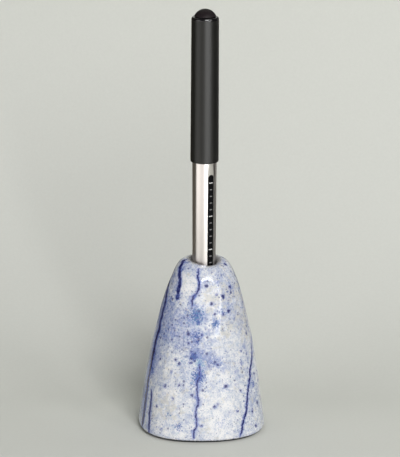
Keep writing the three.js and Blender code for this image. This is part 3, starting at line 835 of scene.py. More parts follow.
class GlazeMarkings:
    """Works out, for each point of the body, how near it lies to a run and how stained it is."""

    # In mm: the spacing of a run's points, how far its edge is traced, and how soon its haze fades
    STEP = 0.2
    REACH = 3.0
    HAZE_REACH = 2.6
    EXTRA_SPOTS = 70
    SEED = 11

    def __init__(self, form: BodyForm) -> None:
        self.form = form
        self.lines = [self.line(run, index) for index, run in enumerate(RUNS)]

    def line(self, run: Run, index: int) -> tuple[np.ndarray, np.ndarray, float]:
        """The wandering middle line of a run.

        Args:
            run: The run.
            index: Its number, so that each wanders in its own way.

        Returns:
            Points in mm, half widths in mm and the haze's strength.
        """
        turns = np.array([point[0] for point in run.points], float)
        heights = np.array([point[1] for point in run.points], float)
        rough = self.form.on_flank(turns, heights)
        along = np.concatenate([[0], np.cumsum(np.linalg.norm(np.diff(rough, axis=0), axis=1))])
        places = np.arange(0, along[-1], self.STEP)
        wander = np.array([
            0.75 * noise.noise(Vector((place * 0.16, index * 7.3, 0.5)))
            + 0.55 * noise.noise(Vector((place * 0.42, index * 7.3, 9.1)))
            + 0.3 * noise.noise(Vector((place * 0.95, index * 7.3, 4.7)))
            for place in places
        ])
        swelling = np.array([
            1.0 + 0.35 * noise.noise(Vector((place * 0.35, index * 3.1, 2.2))) for place in places
        ])
        ends = np.minimum(1.0, 0.35 + np.minimum(places, along[-1] - places) / 2.5)
        height = np.interp(places, along, heights)
        turn = np.interp(places, along, turns)
        radius = np.linalg.norm(self.form.on_flank(turn, height)[:, :2], axis=1)
        turn = turn + np.degrees(wander / np.maximum(radius, 4.0))
        return self.form.on_flank(turn, height), 0.5 * run.width * swelling * ends, run.haze

    def spots(self) -> list[tuple[float, float, float]]:
        """The spots of the front and smaller ones strewn all round."""
        chance = random.Random(self.SEED)
        strewn = [
            (chance.uniform(-180, 180), chance.uniform(4, 74), 0.25 + 0.4 * chance.random() ** 3)
            for _ in range(self.EXTRA_SPOTS)
        ]
        return [*SPOTS, *strewn]

    def near_lines(self, points: np.ndarray, outwards: np.ndarray) -> dict[str, np.ndarray]:
        """How points lie to the nearest run.

        Args:
            points: Points in mm, one row each.
            outwards: The skin's direction at each point.

        Returns:
            run, how far outside it in mm; across, how far to one or the other side of its middle line;
            half, its half width there; haze, the haze round it.
        """
        tree = kdtree.KDTree(sum(len(line) for line, _, _ in self.lines))
        places, halves, hazes, ways = [], [], [], []
        for line, half_widths, haze in self.lines:
            for place, half, way in zip(line, half_widths, np.gradient(line, axis=0)):
                tree.insert(place, len(halves))
                places.append(place)
                halves.append(half)
                hazes.append(haze)
                ways.append(way)
        tree.balance()
        values = {name: np.empty(len(points)) for name in ("run", "across", "half", "haze")}
        for index, point in enumerate(points):
            _, nearest, distance = tree.find(point)
            side = np.dot(np.cross(ways[nearest], outwards[index]), point - places[nearest])
            values["run"][index] = distance - halves[nearest]
            values["across"][index] = math.copysign(min(distance, self.REACH), side)
            values["half"][index] = halves[nearest]
            values["haze"][index] = hazes[nearest] * math.exp(-((distance / self.HAZE_REACH) ** 2))
        return values

    def distance(self, points: np.ndarray, turn: float, height: float) -> np.ndarray:
        """How far points lie from a place on the side, in mm."""
        middle = self.form.on_flank(np.array([turn]), np.array([height]))[0]
        return np.linalg.norm(points - middle, axis=1)

    def nearness(self, points: np.ndarray, turn: float, height: float, radius: float) -> np.ndarray:
        """A soft round hill of 1 at a place on the side."""
        return np.exp(-((self.distance(points, turn, height) / radius) ** 2))

    def write(self, piece: Object) -> None:
        """Stores the markings on the body's points, for its material to read."""
        mesh = piece.data
        points = read_vectors(mesh, "co") / MM
        values = self.near_lines(points, read_vectors(mesh, "normal"))
        for name in ("blue", "teal", "crowd", "warm"):
            values[name] = np.zeros(len(points))
        hills = [("haze", *zone) for zone in HAZES] + [("warm", *zone, 1.0) for zone in WARM_ZONES]
        for patch in PATCHES:
            place = (patch.turn, patch.height, patch.radius)
            hills += [("blue", *place, patch.blue), ("teal", *place, patch.teal)]
        for name, turn, height, radius, strength in hills:
            hill = strength * self.nearness(points, turn, height, radius)
            values[name] = np.maximum(values[name], hill)
        for turn, height, radius, strength in CROWDS:
            values["crowd"] += strength * self.nearness(points, turn, height, radius)
        values["spot"] = np.full(len(points), self.REACH)
        for turn, height, radius in self.spots():
            values["spot"] = np.minimum(values["spot"], self.distance(points, turn, height) - radius)
        sizes = self.form.sizes
        from_axis = np.hypot(points[:, 0], points[:, 1])
        # The mouth's darkening: partly glaze running narrow over the rim, partly painted shade inside the
        # socket
        values["mouth"] = smooth_step(points[:, 2], sizes.height - 8, sizes.height - 4) * (
            1 - smooth_step(from_axis, sizes.socket_radius + 0.5, sizes.socket_radius + 4.0)
        )
        for name, value in values.items():
            attribute = mesh.attributes.new(name, "FLOAT", "POINT")
            attribute.data.foreach_set("value", value.astype(np.float32))


class GlazeFinish:
    """Glossy glaze: whitish and lavender, with blue haze and specks, navy runs, a darker mouth that is partly
    painted shade, and a dark ragged line along the foot.
    """

    def __init__(self, sizes: BodySizes) -> None:
        self.sizes = sizes
        self.material = bpy.data.materials.new("speckled_cobalt_glaze")
        self.tree = fresh_tree(self.material)
        self.place = add_node(self.tree, "ShaderNodeTexCoord").outputs["Object"]
        self.bent = self.bend(0.5, 0.5)
        self.grit = add_noise(self.tree, 0.45, self.bent, 1.0).outputs["Fac"]

    def bend(self, size_mm: float, reach_mm: float) -> Socket:
        """The place, pushed about by a noise, so that what is drawn on it gets ragged edges."""
        push = add_noise(self.tree, size_mm, self.place, 2.0, 0.5).outputs["Color"]
        centred = add_node(
            self.tree, "ShaderNodeVectorMath", {"operation": "SUBTRACT", 1: (0.5, 0.5, 0.5)}, {0: push}
        ).outputs[0]
        return add_node(
            self.tree, "ShaderNodeVectorMath",
            {"operation": "MULTIPLY_ADD", 1: (2 * reach_mm * MM,) * 3}, {0: centred, 2: self.place},
        ).outputs[0]

    def value(self, name: str) -> Socket:
        """One of the glaze's markings."""
        node = add_node(
            self.tree, "ShaderNodeAttribute", {"attribute_type": "GEOMETRY", "attribute_name": name}
        )
        return node.outputs["Fac"]

    def cloud(self, size_mm: float, detail: float = 3.0) -> Socket:
        """A noise whose lumps have that size."""
        return add_noise(self.tree, size_mm, self.place, detail).outputs["Fac"]

    def sum(self, *terms: tuple[Socket, float]) -> Socket:
        """Adds sockets, each times a factor."""
        total = None
        for socket, factor in terms:
            links = {0: socket} if total is None else {0: socket, 2: total}
            total = add_node(
                self.tree, "ShaderNodeMath", {"operation": "MULTIPLY_ADD", 1: factor, 2: 0.0}, links
            ).outputs[0]
        return total

    def product(self, first: Socket, second: Socket) -> Socket:
        """Multiplies two sockets."""
        return calculate(self.tree, "MULTIPLY", first, second)

    def step(self, socket: Socket, low: float, high: float, top: float = 1.0) -> Socket:
        """A smooth step from 0 to top as the socket goes from low to high."""
        return add_range(self.tree, socket, (low, high), (0.0, top), "SMOOTHSTEP")

    def tint(self, base: Socket, share: Socket, colour: str) -> Socket:
        """Mixes a colour over another."""
        return add_node(
            self.tree, "ShaderNodeMix", {"data_type": "RGBA", 7: linear(colour)}, {0: share, 6: base}
        ).outputs[2]

    def layers(self, base: Socket, *layers: tuple) -> Socket:
        """Lays colours over a base, one after another.

        Args:
            base: The base's colour.
            layers: (socket, low, high, top, colour). The colour's share steps from 0 to top as
                the socket goes from low to high.

        Returns:
            The colour with all layers.
        """
        for source, low, high, top, colour in layers:
            base = self.tint(base, self.step(source, low, high, top), colour)
        return base

    def specks(self, size_mm: float, share: float, radius: float, crowding: Socket) -> Socket:
        """Small ragged specks, one in some of the cells of a pattern.

        Args:
            size_mm: The size of a cell.
            share: The share of the cells that hold a speck where crowding is 1.
            radius: The speck's radius, as a share of the cell.
            crowding: How crowded the specks are, from 0 to 1.

        Returns:
            1 in a speck and 0 outside.
        """
        cells = add_node(
            self.tree, "ShaderNodeTexVoronoi", {"Scale": 1.0 / (size_mm * MM)}, {"Vector": self.bent}
        )
        chosen = add_node(
            self.tree, "ShaderNodeSeparateColor", links={0: cells.outputs["Color"]}
        )
        wanted = self.step(self.sum((chosen.outputs[0], 1.0), (crowding, share)), 0.97, 1.05)
        size = self.sum((chosen.outputs[1], radius), (crowding, radius * 0.6))
        gap = self.sum((cells.outputs["Distance"], 1.0), (size, -1.0))
        return self.product(self.step(gap, 0.03, -0.09), wanted)

    def run_edge(self) -> Socket:
        """How far outside a run a place lies, in mm, with a ragged edge."""
        across = calculate(self.tree, "ABSOLUTE", self.value("across"))
        narrow = self.sum((across, 1.0), (self.value("half"), -1.0))
        wide = self.sum((self.value("run"), 1.0), (self.value("half"), -0.9))
        outside = calculate(self.tree, "MAXIMUM", narrow, wide)
        return self.sum((outside, 1.0), (self.cloud(0.9, 2.0), 1.0), (self.cloud(0.35, 1.0), 0.6))

    def colour(self) -> Socket:
        """The glaze's colour."""
        ground = self.sum(
            (self.cloud(5.0), 0.35), (self.cloud(1.6, 4.0), 0.4), (self.cloud(0.6, 2.0), 0.3),
            (self.value("crowd"), -0.05),
        )
        colour = ramp(
            self.tree, ground,
            [(0.42, "#a4abc6"), (0.48, "#bec4d4"), (0.54, "#d5d7dd"), (0.62, "#e8e7e8")],
        )
        crowding = self.sum(
            (self.value("blue"), 0.5), (self.value("haze"), 0.4), (self.cloud(4.0, 3.0), 2.2),
            (self.value("crowd"), 0.6),
        )
        warmth = self.sum((self.cloud(3.0, 3.0), 1.0), (self.value("warm"), 0.2))
        mist = self.sum((self.value("haze"), 1.0), (self.cloud(2.0, 4.0), 1.2))
        dust = self.sum((self.cloud(0.42, 2.0), 1.0), (crowding, 0.2))
        mottle = self.sum((self.cloud(1.4, 3.0), 1.0), (self.grit, 0.5), (crowding, 0.2))
        stain = self.sum((self.value("blue"), 1.0), (self.cloud(0.9, 4.0), 0.8), (self.grit, 1.6))
        teal = self.sum((self.value("teal"), 0.65), (self.cloud(0.8, 3.0), 0.8), (self.grit, 2.2))
        colour = self.layers(
            colour, (warmth, 0.54, 0.72, 0.7, "#cbc8c1"), (mist, 0.85, 1.5, 0.8, "#8894c6"),
            (dust, 0.82, 1.0, 0.75, "#6474b6"), (mottle, 1.04, 1.25, 0.6, "#8793c0"),
            (stain, 1.34, 1.85, 0.45, "#7a90cc"), (stain, 1.66, 1.92, 0.92, "#2b4796"),
            (teal, 1.72, 2.15, 0.55, "#5c9fb2"),
        )
        colour = self.tint(colour, self.sum((self.specks(0.85, 0.26, 0.3, crowding), 0.6)), "#4c5b94")
        colour = self.tint(colour, self.sum((self.specks(1.7, 0.19, 0.22, crowding), 0.75)), "#323a74")
        spot = self.sum((self.value("spot"), 1.0), (self.cloud(0.7, 3.0), 1.6))
        edge = self.run_edge()
        colour = self.layers(
            colour, (spot, 1.5, 0.7, 0.55, "#5b6ab0"), (spot, 0.85, 0.55, 0.9, "#272c63"),
            (edge, 1.6, 0.75, 0.75, "#5b6bb6"),
        )
        depth = self.step(self.cloud(2.6, 2.0), 0.35, 0.6)
        core = self.product(self.step(edge, 0.95, 0.66), self.sum((depth, 0.4), (self.grit, 1.6)))
        colour = self.tint(colour, core, "#20255f")
        rust = self.specks(2.6, 0.1, 0.16, self.cloud(6.0, 2.0))
        colour = self.tint(colour, self.sum((rust, 0.5)), "#c08a78")
        # Grey-brown over the mouth: partly glaze running narrow at the rim, partly painted shade in the
        # socket
        thin_glaze_and_shade = self.sum((self.value("mouth"), 1.0), (self.cloud(1.2, 3.0), 1.2), (self.grit, 1.0))
        return self.layers(colour, (thin_glaze_and_shade, 1.3, 2.0, 0.8, "#66635f"))

    def darken_foot_line(self, colour: Socket) -> Socket:
        """Darkens a narrow ragged line along the bottom of the foot."""
        height = add_node(
            self.tree, "ShaderNodeSeparateXYZ", links={0: self.place}
        ).outputs[2]
        line = self.sum((height, 1 / MM), (self.cloud(0.8, 2.0), -1.1))
        foot = self.sizes.bottom
        return self.tint(colour, self.step(line, foot + 0.15, foot - 0.35, 0.9), "#3d3b41")

    def build(self) -> bpy.types.Material:
        """Makes the material."""
        colour = self.darken_foot_line(self.colour())
        polish = add_range(self.tree, self.cloud(5.0), (0.3, 0.7), (0.04, 0.08))
        waves = self.sum((self.cloud(6.0, 1.0), 1.0), (self.cloud(0.8, 1.0), 0.03))
        bump = add_node(
            self.tree, "ShaderNodeBump", {"Strength": 0.3, "Distance": 0.1 * MM}, {"Height": waves}
        ).outputs["Normal"]
        add_shader(self.tree, {"IOR": 1.5}, {"Base Color": colour, "Roughness": polish, "Normal": bump})
        return self.material


class Stand:
    """The ceramic body and the pad under it."""

    def __init__(self) -> None:
        self.form = BodyForm(BodySizes())

    def body(self) -> None:
        """The ceramic body with its socket and its hollow underside."""
        piece = Bench.turned(self.form.outline(), BodyForm.SIDES)
        fine = piece.modifiers.new("fine", "SUBSURF")
        fine.levels = 2
        fine.render_levels = 2
        Bench.apply(piece)
        points = read_vectors(piece.data, "co") / MM
        radius = np.hypot(points[:, 0], points[:, 1])
        sizes = self.form.sizes
        skin = smooth_step(radius, sizes.socket_radius, sizes.socket_radius + 4)
        depth = np.array([0.5 + noise.noise(Vector(point) * 0.085) for point in points])
        shaped = self.form.shape(points)
        outwards = np.stack([points[:, 0], points[:, 1], np.zeros(len(points))], axis=1)
        outwards /= np.maximum(radius, 1e-6)[:, None]
        shaped -= outwards * (sizes.undulation * np.clip(depth, 0, 1) * skin)[:, None]
        piece.data.vertices.foreach_set("co", (shaped * MM).ravel())
        piece.data.update()
        Bench.settle(piece, "glazed_body", Finish.SOFT)
        GlazeMarkings(self.form).write(piece)
        piece.data.materials.append(GlazeFinish(sizes).build())
        tie(piece, "holder", "ceramic_body")

    def pad(self) -> None:
        """The thin felt pad, with the outline of the body's foot drawn in."""
        sizes = self.form.sizes
        rim = sizes.foot_radius
        outline = eased([(0, 0), (rim, 0), (rim, sizes.pad_thickness), (0, sizes.pad_thickness)], 0.25)
        piece = Bench.turned(outline, 144)
        for vertex in piece.data.vertices:
            radius = math.hypot(vertex.co.x, vertex.co.y) / MM
            turn = np.array([math.atan2(vertex.co.x, -vertex.co.y)])
            foot = float(self.form.plan(np.array([rim]), turn, np.array([1.0]))[0]) - sizes.pad_inset
            scaled = foot * radius / rim
            vertex.co.x = (scaled * math.sin(turn[0]) + sizes.lean) * MM
            vertex.co.y = -scaled * math.cos(turn[0]) * MM
        Bench.settle(piece, "felt_pad")
        piece.data.materials.append(FELT_FINISH.build())
        tie(piece, "holder", "base_pad")

    def build(self) -> None:
        """Makes both pieces."""
        self.body()
        self.pad()


# The pen and its cap


@dataclass(frozen=True)
class PenSizes:
    """The pen's sizes in mm, as in the CAD model.

    Stations run up from its lower end. A mark is given by its width and its height.
    """

    barrel_start: float = 2.2
    barrel_mouth: float = 79.1
    barrel_end_radius: float = 4.98
    barrel_mouth_radius: float = 5.33
    barrel_bore: float = 4.55
    slot_turn: float = 34.5
    slot_width: float = 3.0
    slot_bottom: float = 11.4
    slot_top: float = 66.4
    slot_bevel: float = 0.13
    strip_side_gap: float = 0.15
    strip_recess: float = 0.12
    strip_inner: float = 3.9
    flange_radius: float = 4.3
    flange_margin: float = 1.6
    flange_width: float = 4.5
    mark_pitch: float = 3.0
    mark_first: float = 62.8
    mark_relief: float = 0.06
    short_mark: tuple = (1.15, 0.315)
    long_mark: tuple = (1.85, 0.357)

    def barrel_radius(self, station: float) -> float:
        """The tapered barrel's radius at a station."""
        share = (station - self.barrel_start) / (self.barrel_mouth - self.barrel_start)
        return self.barrel_end_radius + (self.barrel_mouth_radius - self.barrel_end_radius) * share


class Turnery:
    """Makes turned pieces of the pen and puts them on their body."""

    def __init__(self, foot: float, body: str) -> None:
        """Args: foot is the height of station 0 in mm, and body is the CAD body the pieces ride on."""
        self.foot = foot
        self.body = body

    def turned(self, outline: Outline, sides: int = 96, edge: float = 0.12) -> Object:
        """Turns a solid from stations in mm, with its outward corners rounded."""
        return Bench.turned([(r, s + self.foot) for r, s in eased(outline, edge)], sides)

    def sharp(self, outline: Outline) -> Object:
        """Turns a solid from stations in mm and leaves its corners sharp."""
        return Bench.turned([(r, s + self.foot) for r, s in outline], 128)

    def fit(self, piece: Object, name: str, node: str, slot: str,
            finish: PlainFinish, edges: Finish = Finish.CRISP) -> None:
        """Names a finished piece, gives it its material and ties it to the CAD node it stands for."""
        Bench.settle(piece, name, edges)
        piece.data.materials.append(finish.build())
        tie(piece, self.body, node)


class Pen(Turnery):
    """The pen that stands in the body."""

    # Where a bar through the slot starts and ends, in mm from the axis
    REACH = (2.0, 8.0)
    # A mark's block before it is trimmed, in mm: its middle and its depth along the radius
    MARK_MIDDLE = 5.5
    MARK_DEPTH = 2.4
    # The inner radius of the shell that trims the marks, in mm
    MARK_ROOT = 4.2
    # An edge of the slot's rim lies this near the outside, in mm, and turns by more than this angle
    RIM_MARGIN = 0.06
    RIM_ANGLE = math.radians(40)

    def __init__(self, foot: float) -> None:
        super().__init__(foot, "pen")
        self.sizes = PenSizes()

    def bar(self, width: float, bottom: float, top: float) -> Object:
        """An upright bar with round ends that stands through the slot.

        Args:
            width: Its width in mm.
            bottom: The station of its lower end.
            top: The station of its upper end.

        Returns:
            The bar, still without a name.
        """
        sides = 36
        near, far = self.REACH
        half = width / 2 * MM
        Bench.clear()
        bpy.ops.mesh.primitive_circle_add(
            vertices=sides, radius=half / math.cos(math.pi / sides), fill_type="NGON",
            location=(0, -near * MM, (self.foot + bottom) * MM + half), rotation=(math.pi / 2, 0, 0),
        )
        piece = bpy.context.object
        bpy.ops.object.transform_apply(location=False, rotation=True, scale=False)
        bpy.ops.object.mode_set(mode="EDIT")
        bpy.ops.transform.rotate(
            value=math.pi / sides, orient_axis="Y", center_override=piece.location
        )
        Bench.pick(piece, "VERT", lambda vertex: vertex.co.z > 0)
        bpy.ops.transform.translate(value=(0, 0, (top - bottom - width) * MM))
        bpy.ops.mesh.select_all(action="SELECT")
        bpy.ops.mesh.extrude_region_move(TRANSFORM_OT_translate={"value": (0, -(far - near) * MM, 0)})
        bpy.ops.mesh.select_all(action="SELECT")
        bpy.ops.transform.rotate(
            value=-math.radians(self.sizes.slot_turn), orient_axis="Z", center_override=(0, 0, 0)
        )
        Bench.face_out()
        Bench.fix()
        return piece

    def shell(self, inner: float, recess: float, bottom: float, top: float) -> Object:
        """A tube that follows the barrel's taper outside, some way below its surface."""
        low = self.sizes.barrel_radius(bottom) - recess
        high = self.sizes.barrel_radius(top) - recess
        return self.sharp([(inner, bottom), (low, bottom), (high, top), (inner, top), (inner, bottom)])

    def barrel(self) -> None:
        """The barrel with its long slot, whose edge is broken by a small bevel."""
        sizes = self.sizes
        piece = self.turned([
            (sizes.barrel_bore, sizes.barrel_start),
            (sizes.barrel_end_radius, sizes.barrel_start),
            (sizes.barrel_mouth_radius, sizes.barrel_mouth),
            (sizes.barrel_bore, sizes.barrel_mouth),
            (sizes.barrel_bore, sizes.barrel_start),
        ], 128)
        Bench.cut(piece, self.bar(sizes.slot_width, sizes.slot_bottom, sizes.slot_top))
        self.break_slot_edge(piece)
        self.fit(piece, "slotted_barrel", "barrel_tube", "barrel_aluminium", BARREL_FINISH)

    def break_slot_edge(self, piece: Object) -> None:
        """Bevels the outer edge of the slot."""
        sizes = self.sizes
        low = (self.foot + sizes.slot_bottom - 0.2) * MM
        high = (self.foot + sizes.slot_top + 0.2) * MM
        least = (sizes.barrel_end_radius - self.RIM_MARGIN) * MM

        def on_rim(edge: bmesh.types.BMEdge) -> bool:
            """Whether an edge lies on the slot's outer rim."""
            ends = [vertex.co for vertex in edge.verts]
            return (
                all(low < end.z < high and math.hypot(end.x, end.y) > least for end in ends)
                and len(edge.link_faces) == 2 and edge.calc_face_angle(0) > self.RIM_ANGLE
            )

        Bench.take(piece)
        bpy.ops.object.mode_set(mode="EDIT")
        Bench.pick(piece, "EDGE", on_rim)
        bpy.ops.mesh.bevel(offset=sizes.slot_bevel * MM, segments=2, affect="EDGES")
        bpy.ops.object.mode_set(mode="OBJECT")

    def strip(self) -> None:
        """The black strip: its face in the slot, its flange behind the wall and its raised marks."""
        sizes = self.sizes
        gap = sizes.strip_side_gap
        width = sizes.slot_width - 2 * gap
        face = self.shell(sizes.strip_inner, sizes.strip_recess, sizes.slot_bottom, sizes.slot_top)
        bar = self.bar(width, sizes.slot_bottom + gap, sizes.slot_top - gap)
        Bench.cut(face, bar, "INTERSECT")
        bottom = sizes.slot_bottom - sizes.flange_margin
        top = sizes.slot_top + sizes.flange_margin
        flange = self.sharp(straight_tube(sizes.strip_inner, sizes.flange_radius, bottom, top))
        Bench.cut(flange, self.bar(sizes.flange_width, bottom, top), "INTERSECT")
        Bench.cut(face, flange, "UNION")
        for finish in (STRIP_FINISH, INK_FINISH, WORN_INK_FINISH):
            face.data.materials.append(finish.build())
        Bench.join([face, self.marks()])
        Bench.settle(face, "graduated_strip")
        tie(face, self.body, "scale_strip")

    def marks(self) -> Object:
        """The raised marks, every fifth one longer, trimmed to the strip's round face."""
        sizes = self.sizes
        bars = []
        station = sizes.mark_first
        number = 0
        while station > sizes.slot_bottom + sizes.slot_width:
            width, height = sizes.long_mark if number % 5 == 0 else sizes.short_mark
            Bench.clear()
            bpy.ops.mesh.primitive_cube_add(
                size=1, location=(0, -self.MARK_MIDDLE * MM, (self.foot + station) * MM)
            )
            bar = bpy.context.object
            bar.scale = Vector((width, self.MARK_DEPTH, height)) * MM
            Bench.fix()
            bars.append(bar)
            station -= sizes.mark_pitch
            number += 1
        joined = Bench.join(bars)
        joined.data.transform(Matrix.Rotation(math.radians(sizes.slot_turn), 4, "Z"))
        face = self.shell(
            self.MARK_ROOT, sizes.strip_recess - sizes.mark_relief, sizes.slot_bottom, sizes.slot_top
        )
        Bench.cut(face, joined, "INTERSECT")
        face.data.materials.clear()
        for name in (STRIP_FINISH.name, INK_FINISH.name, WORN_INK_FINISH.name):
            face.data.materials.append(bpy.data.materials[name])
        for polygon in face.data.polygons:
            station = polygon.center.z / MM - self.foot
            number = round((sizes.mark_first - station) / sizes.mark_pitch)
            polygon.material_index = 1 if number % 5 == 0 else 2
        return face

    def inner_pieces(self) -> None:
        """The plug, the bush, the grip, the nose and the refill with its spring."""
        plug = self.turned([
            (0, 0), *arc((4.08, 0.9), (0.9, 0.9), (-90, 0)), (4.98, 1.9), (4.3, 1.9), (4.3, 9.5),
            (3.2, 9.5), (3.2, 2.4), (0, 2.4),
        ])
        self.fit(plug, "end_plug", "barrel_end_plug", "plug_plastic", PLASTIC_FINISH)
        bush = self.turned(straight_tube(3.85, 4.3, 70.5, 78.7))
        self.fit(bush, "threaded_bush", "thread_bush", "bush_brass", BRASS_FINISH)
        self.fit(self.grip(), "ribbed_grip", "section_grip", "grip_plastic", PLASTIC_FINISH)
        nose = self.turned([
            (3.1, 102.7), (3.7, 102.7), (3.25, 105.2), (2.45, 108.2), (1.65, 110.5), (1.25, 110.5),
            (1.25, 106.9), (2.15, 106.9), (2.15, 103.15), (3.1, 103.15), (3.1, 102.7),
        ])
        self.fit(nose, "tapered_nose", "nose_cone", "nose_chrome", CHROME_FINISH, Finish.SOFT)
        tube = self.turned(straight_tube(2.45, 2.85, 14.0, 103.0))
        self.fit(tube, "ink_tube", "refill_tube", "refill_metal", STEEL_FINISH)
        stopper = self.turned([(0, 12.9), (2.85, 12.9), (2.85, 13.7), (2.2, 13.7), (2.2, 19), (0, 19)])
        self.fit(stopper, "ink_stopper", "refill_plug", "refill_plug_plastic", MILKY_FINISH)
        tip = self.turned([
            (0, 98), (2.2, 98), (2.2, 102.7), (1.9, 102.7), (1.9, 105.9), (1.0, 105.9), (1.0, 111.5),
            *arc((0, 113.3), (0.4, 0.4), (0, 90), 5)[:-1], (0, 113.7),
        ], 64, 0.08)
        self.fit(tip, "writing_tip", "refill_tip", "tip_brass", BRASS_FINISH)
        self.fit(self.spring(), "coil_spring", "refill_spring", "spring_steel", STEEL_FINISH, Finish.SOFT)

    def grip(self) -> Object:
        """The grip, with shallow rings cut round its front for the fingers."""
        front = [(4.5, 83.9)]
        for ring in range(7):
            station = 87.4 + ring * 1.9
            radius = 4.5 - 0.8 * (station - 83.9) / (102.4 - 83.9)
            front += [(radius, station), (radius - 0.16, station + 0.25), (radius - 0.16, station + 0.65),
                      (radius - 0.03, station + 0.9)]
        return self.turned([
            (3.1, 70.6), (3.6, 70.6), (3.6, 79.4), (5.15, 79.4), (5.15, 80.9), (4.5, 80.9), *front,
            (3.7, 102.4), (3.1, 102.4), (3.1, 70.6),
        ])

    def spring(self) -> Object:
        """The coil spring behind the refill."""
        turns = 6
        start = 2.98
        rise = 12.32 - start
        Bench.clear()
        bpy.ops.mesh.primitive_circle_add(
            vertices=10, radius=0.28 * MM, location=(2.2 * MM, 0, (self.foot + start) * MM),
            rotation=(math.pi / 2, 0, 0),
        )
        piece = bpy.context.object
        Bench.fix()
        coil = piece.modifiers.new("coil", "SCREW")
        coil.angle = math.radians(360)
        coil.iterations = turns
        coil.screw_offset = rise / turns * MM
        coil.steps = 30
        coil.render_steps = 30
        Bench.apply(piece)
        bpy.ops.object.mode_set(mode="EDIT")
        bpy.ops.mesh.select_all(action="SELECT")
        bpy.ops.mesh.fill_holes(sides=0)
        Bench.face_out()
        return piece

    def build(self) -> None:
        """Makes every piece of the pen."""
        self.barrel()
        self.strip()
        self.inner_pieces()


class Cap(Turnery):
    """The cap on the pen's upper end. Its stations are the pen's."""

    # The station above which the sleeve's shoulder is polished
    POLISHED_FROM = 133.95

    def __init__(self, foot: float) -> None:
        super().__init__(foot, "cap")

    def build(self) -> None:
        """Makes every piece of the cap."""
        sleeve = self.turned([
            (5.58, 71.5), *arc((5.73, 72.2), (0.42, 0.7), (-90, 0)),
            *arc((5.38, 133.75), (0.55, 1.4), (0, 90), 8), (1.45, 135.15), (1.45, 133.65),
            (5.2, 133.65), (5.2, 82.8), (5.58, 82.8), (5.58, 71.5),
        ], 128)
        self.fit(sleeve, "black_sleeve", "cap_sleeve", "cap_lacquer", CAP_FINISH)
        sleeve.data.materials.append(EDGE_FINISH.build())
        for polygon in sleeve.data.polygons:
            polygon.material_index = int(polygon.center.z / MM > self.foot + self.POLISHED_FROM)
        clutch = self.turned(straight_tube(4.75, 5.33, 81.2, 82.4))
        self.fit(clutch, "sprung_ring", "clutch_ring", "clutch_steel", STEEL_FINISH)
        lining = self.turned([
            (4.35, 99.35), (4.95, 99.35), (4.95, 133.35), (1.45, 133.35), (1.45, 132.25),
            (4.35, 132.25), (4.35, 99.35),
        ])
        self.fit(lining, "cap_lining", "inner_cap", "inner_cap_plastic", PLASTIC_FINISH)
        dome = self.turned([
            (0, 137.25), (1.45, 137.25), (1.45, 135.35), (4.66, 135.35),
            *arc((0, 133.37), (5.18, 5.17), (25, 90), 24)[:-1], (0, 138.54),
        ], 128, 0.1)
        self.fit(dome, "glossy_dome", "finial_dome", "finial_gloss", DOME_FINISH, Finish.SOFT)
        screw = self.turned([
            (0, 130.75), (2.4, 130.75), (2.4, 131.95), (1.2, 131.95), (1.2, 136.95), (0, 136.95),
        ], 64)
        self.fit(screw, "dome_screw", "finial_screw", "screw_steel", STEEL_FINISH)


# The studio


@dataclass(frozen=True)
class Panel:
    """A soft light.

    Attributes:
        azimuth: Degrees from the front towards the right.
        elevation: Degrees above the floor.
        distance: Metres from the object.
        width: Metres.
        height: Metres.
        watts: Its power.
    """

    azimuth: float
    elevation: float
    distance: float
    width: float
    height: float
    watts: float


@dataclass(frozen=True)
class Screen:
    """A curved screen round the object that glows though it is no lamp and that only reflections see: a
    painted reflection, bright or dark.

    Attributes:
        first: Its first azimuth in degrees.
        last: Its last azimuth.
        distance: Metres from the object.
        top: The height of its upper edge in metres.
        tone: The sRGB hex colour that it shows.
        glow: How many times brighter than white paper it is.
        foot: The height of its lower edge in metres.
    """

    first: float
    last: float
    distance: float
    top: float
    tone: str
    glow: float = 1.0
    foot: float = 0.0


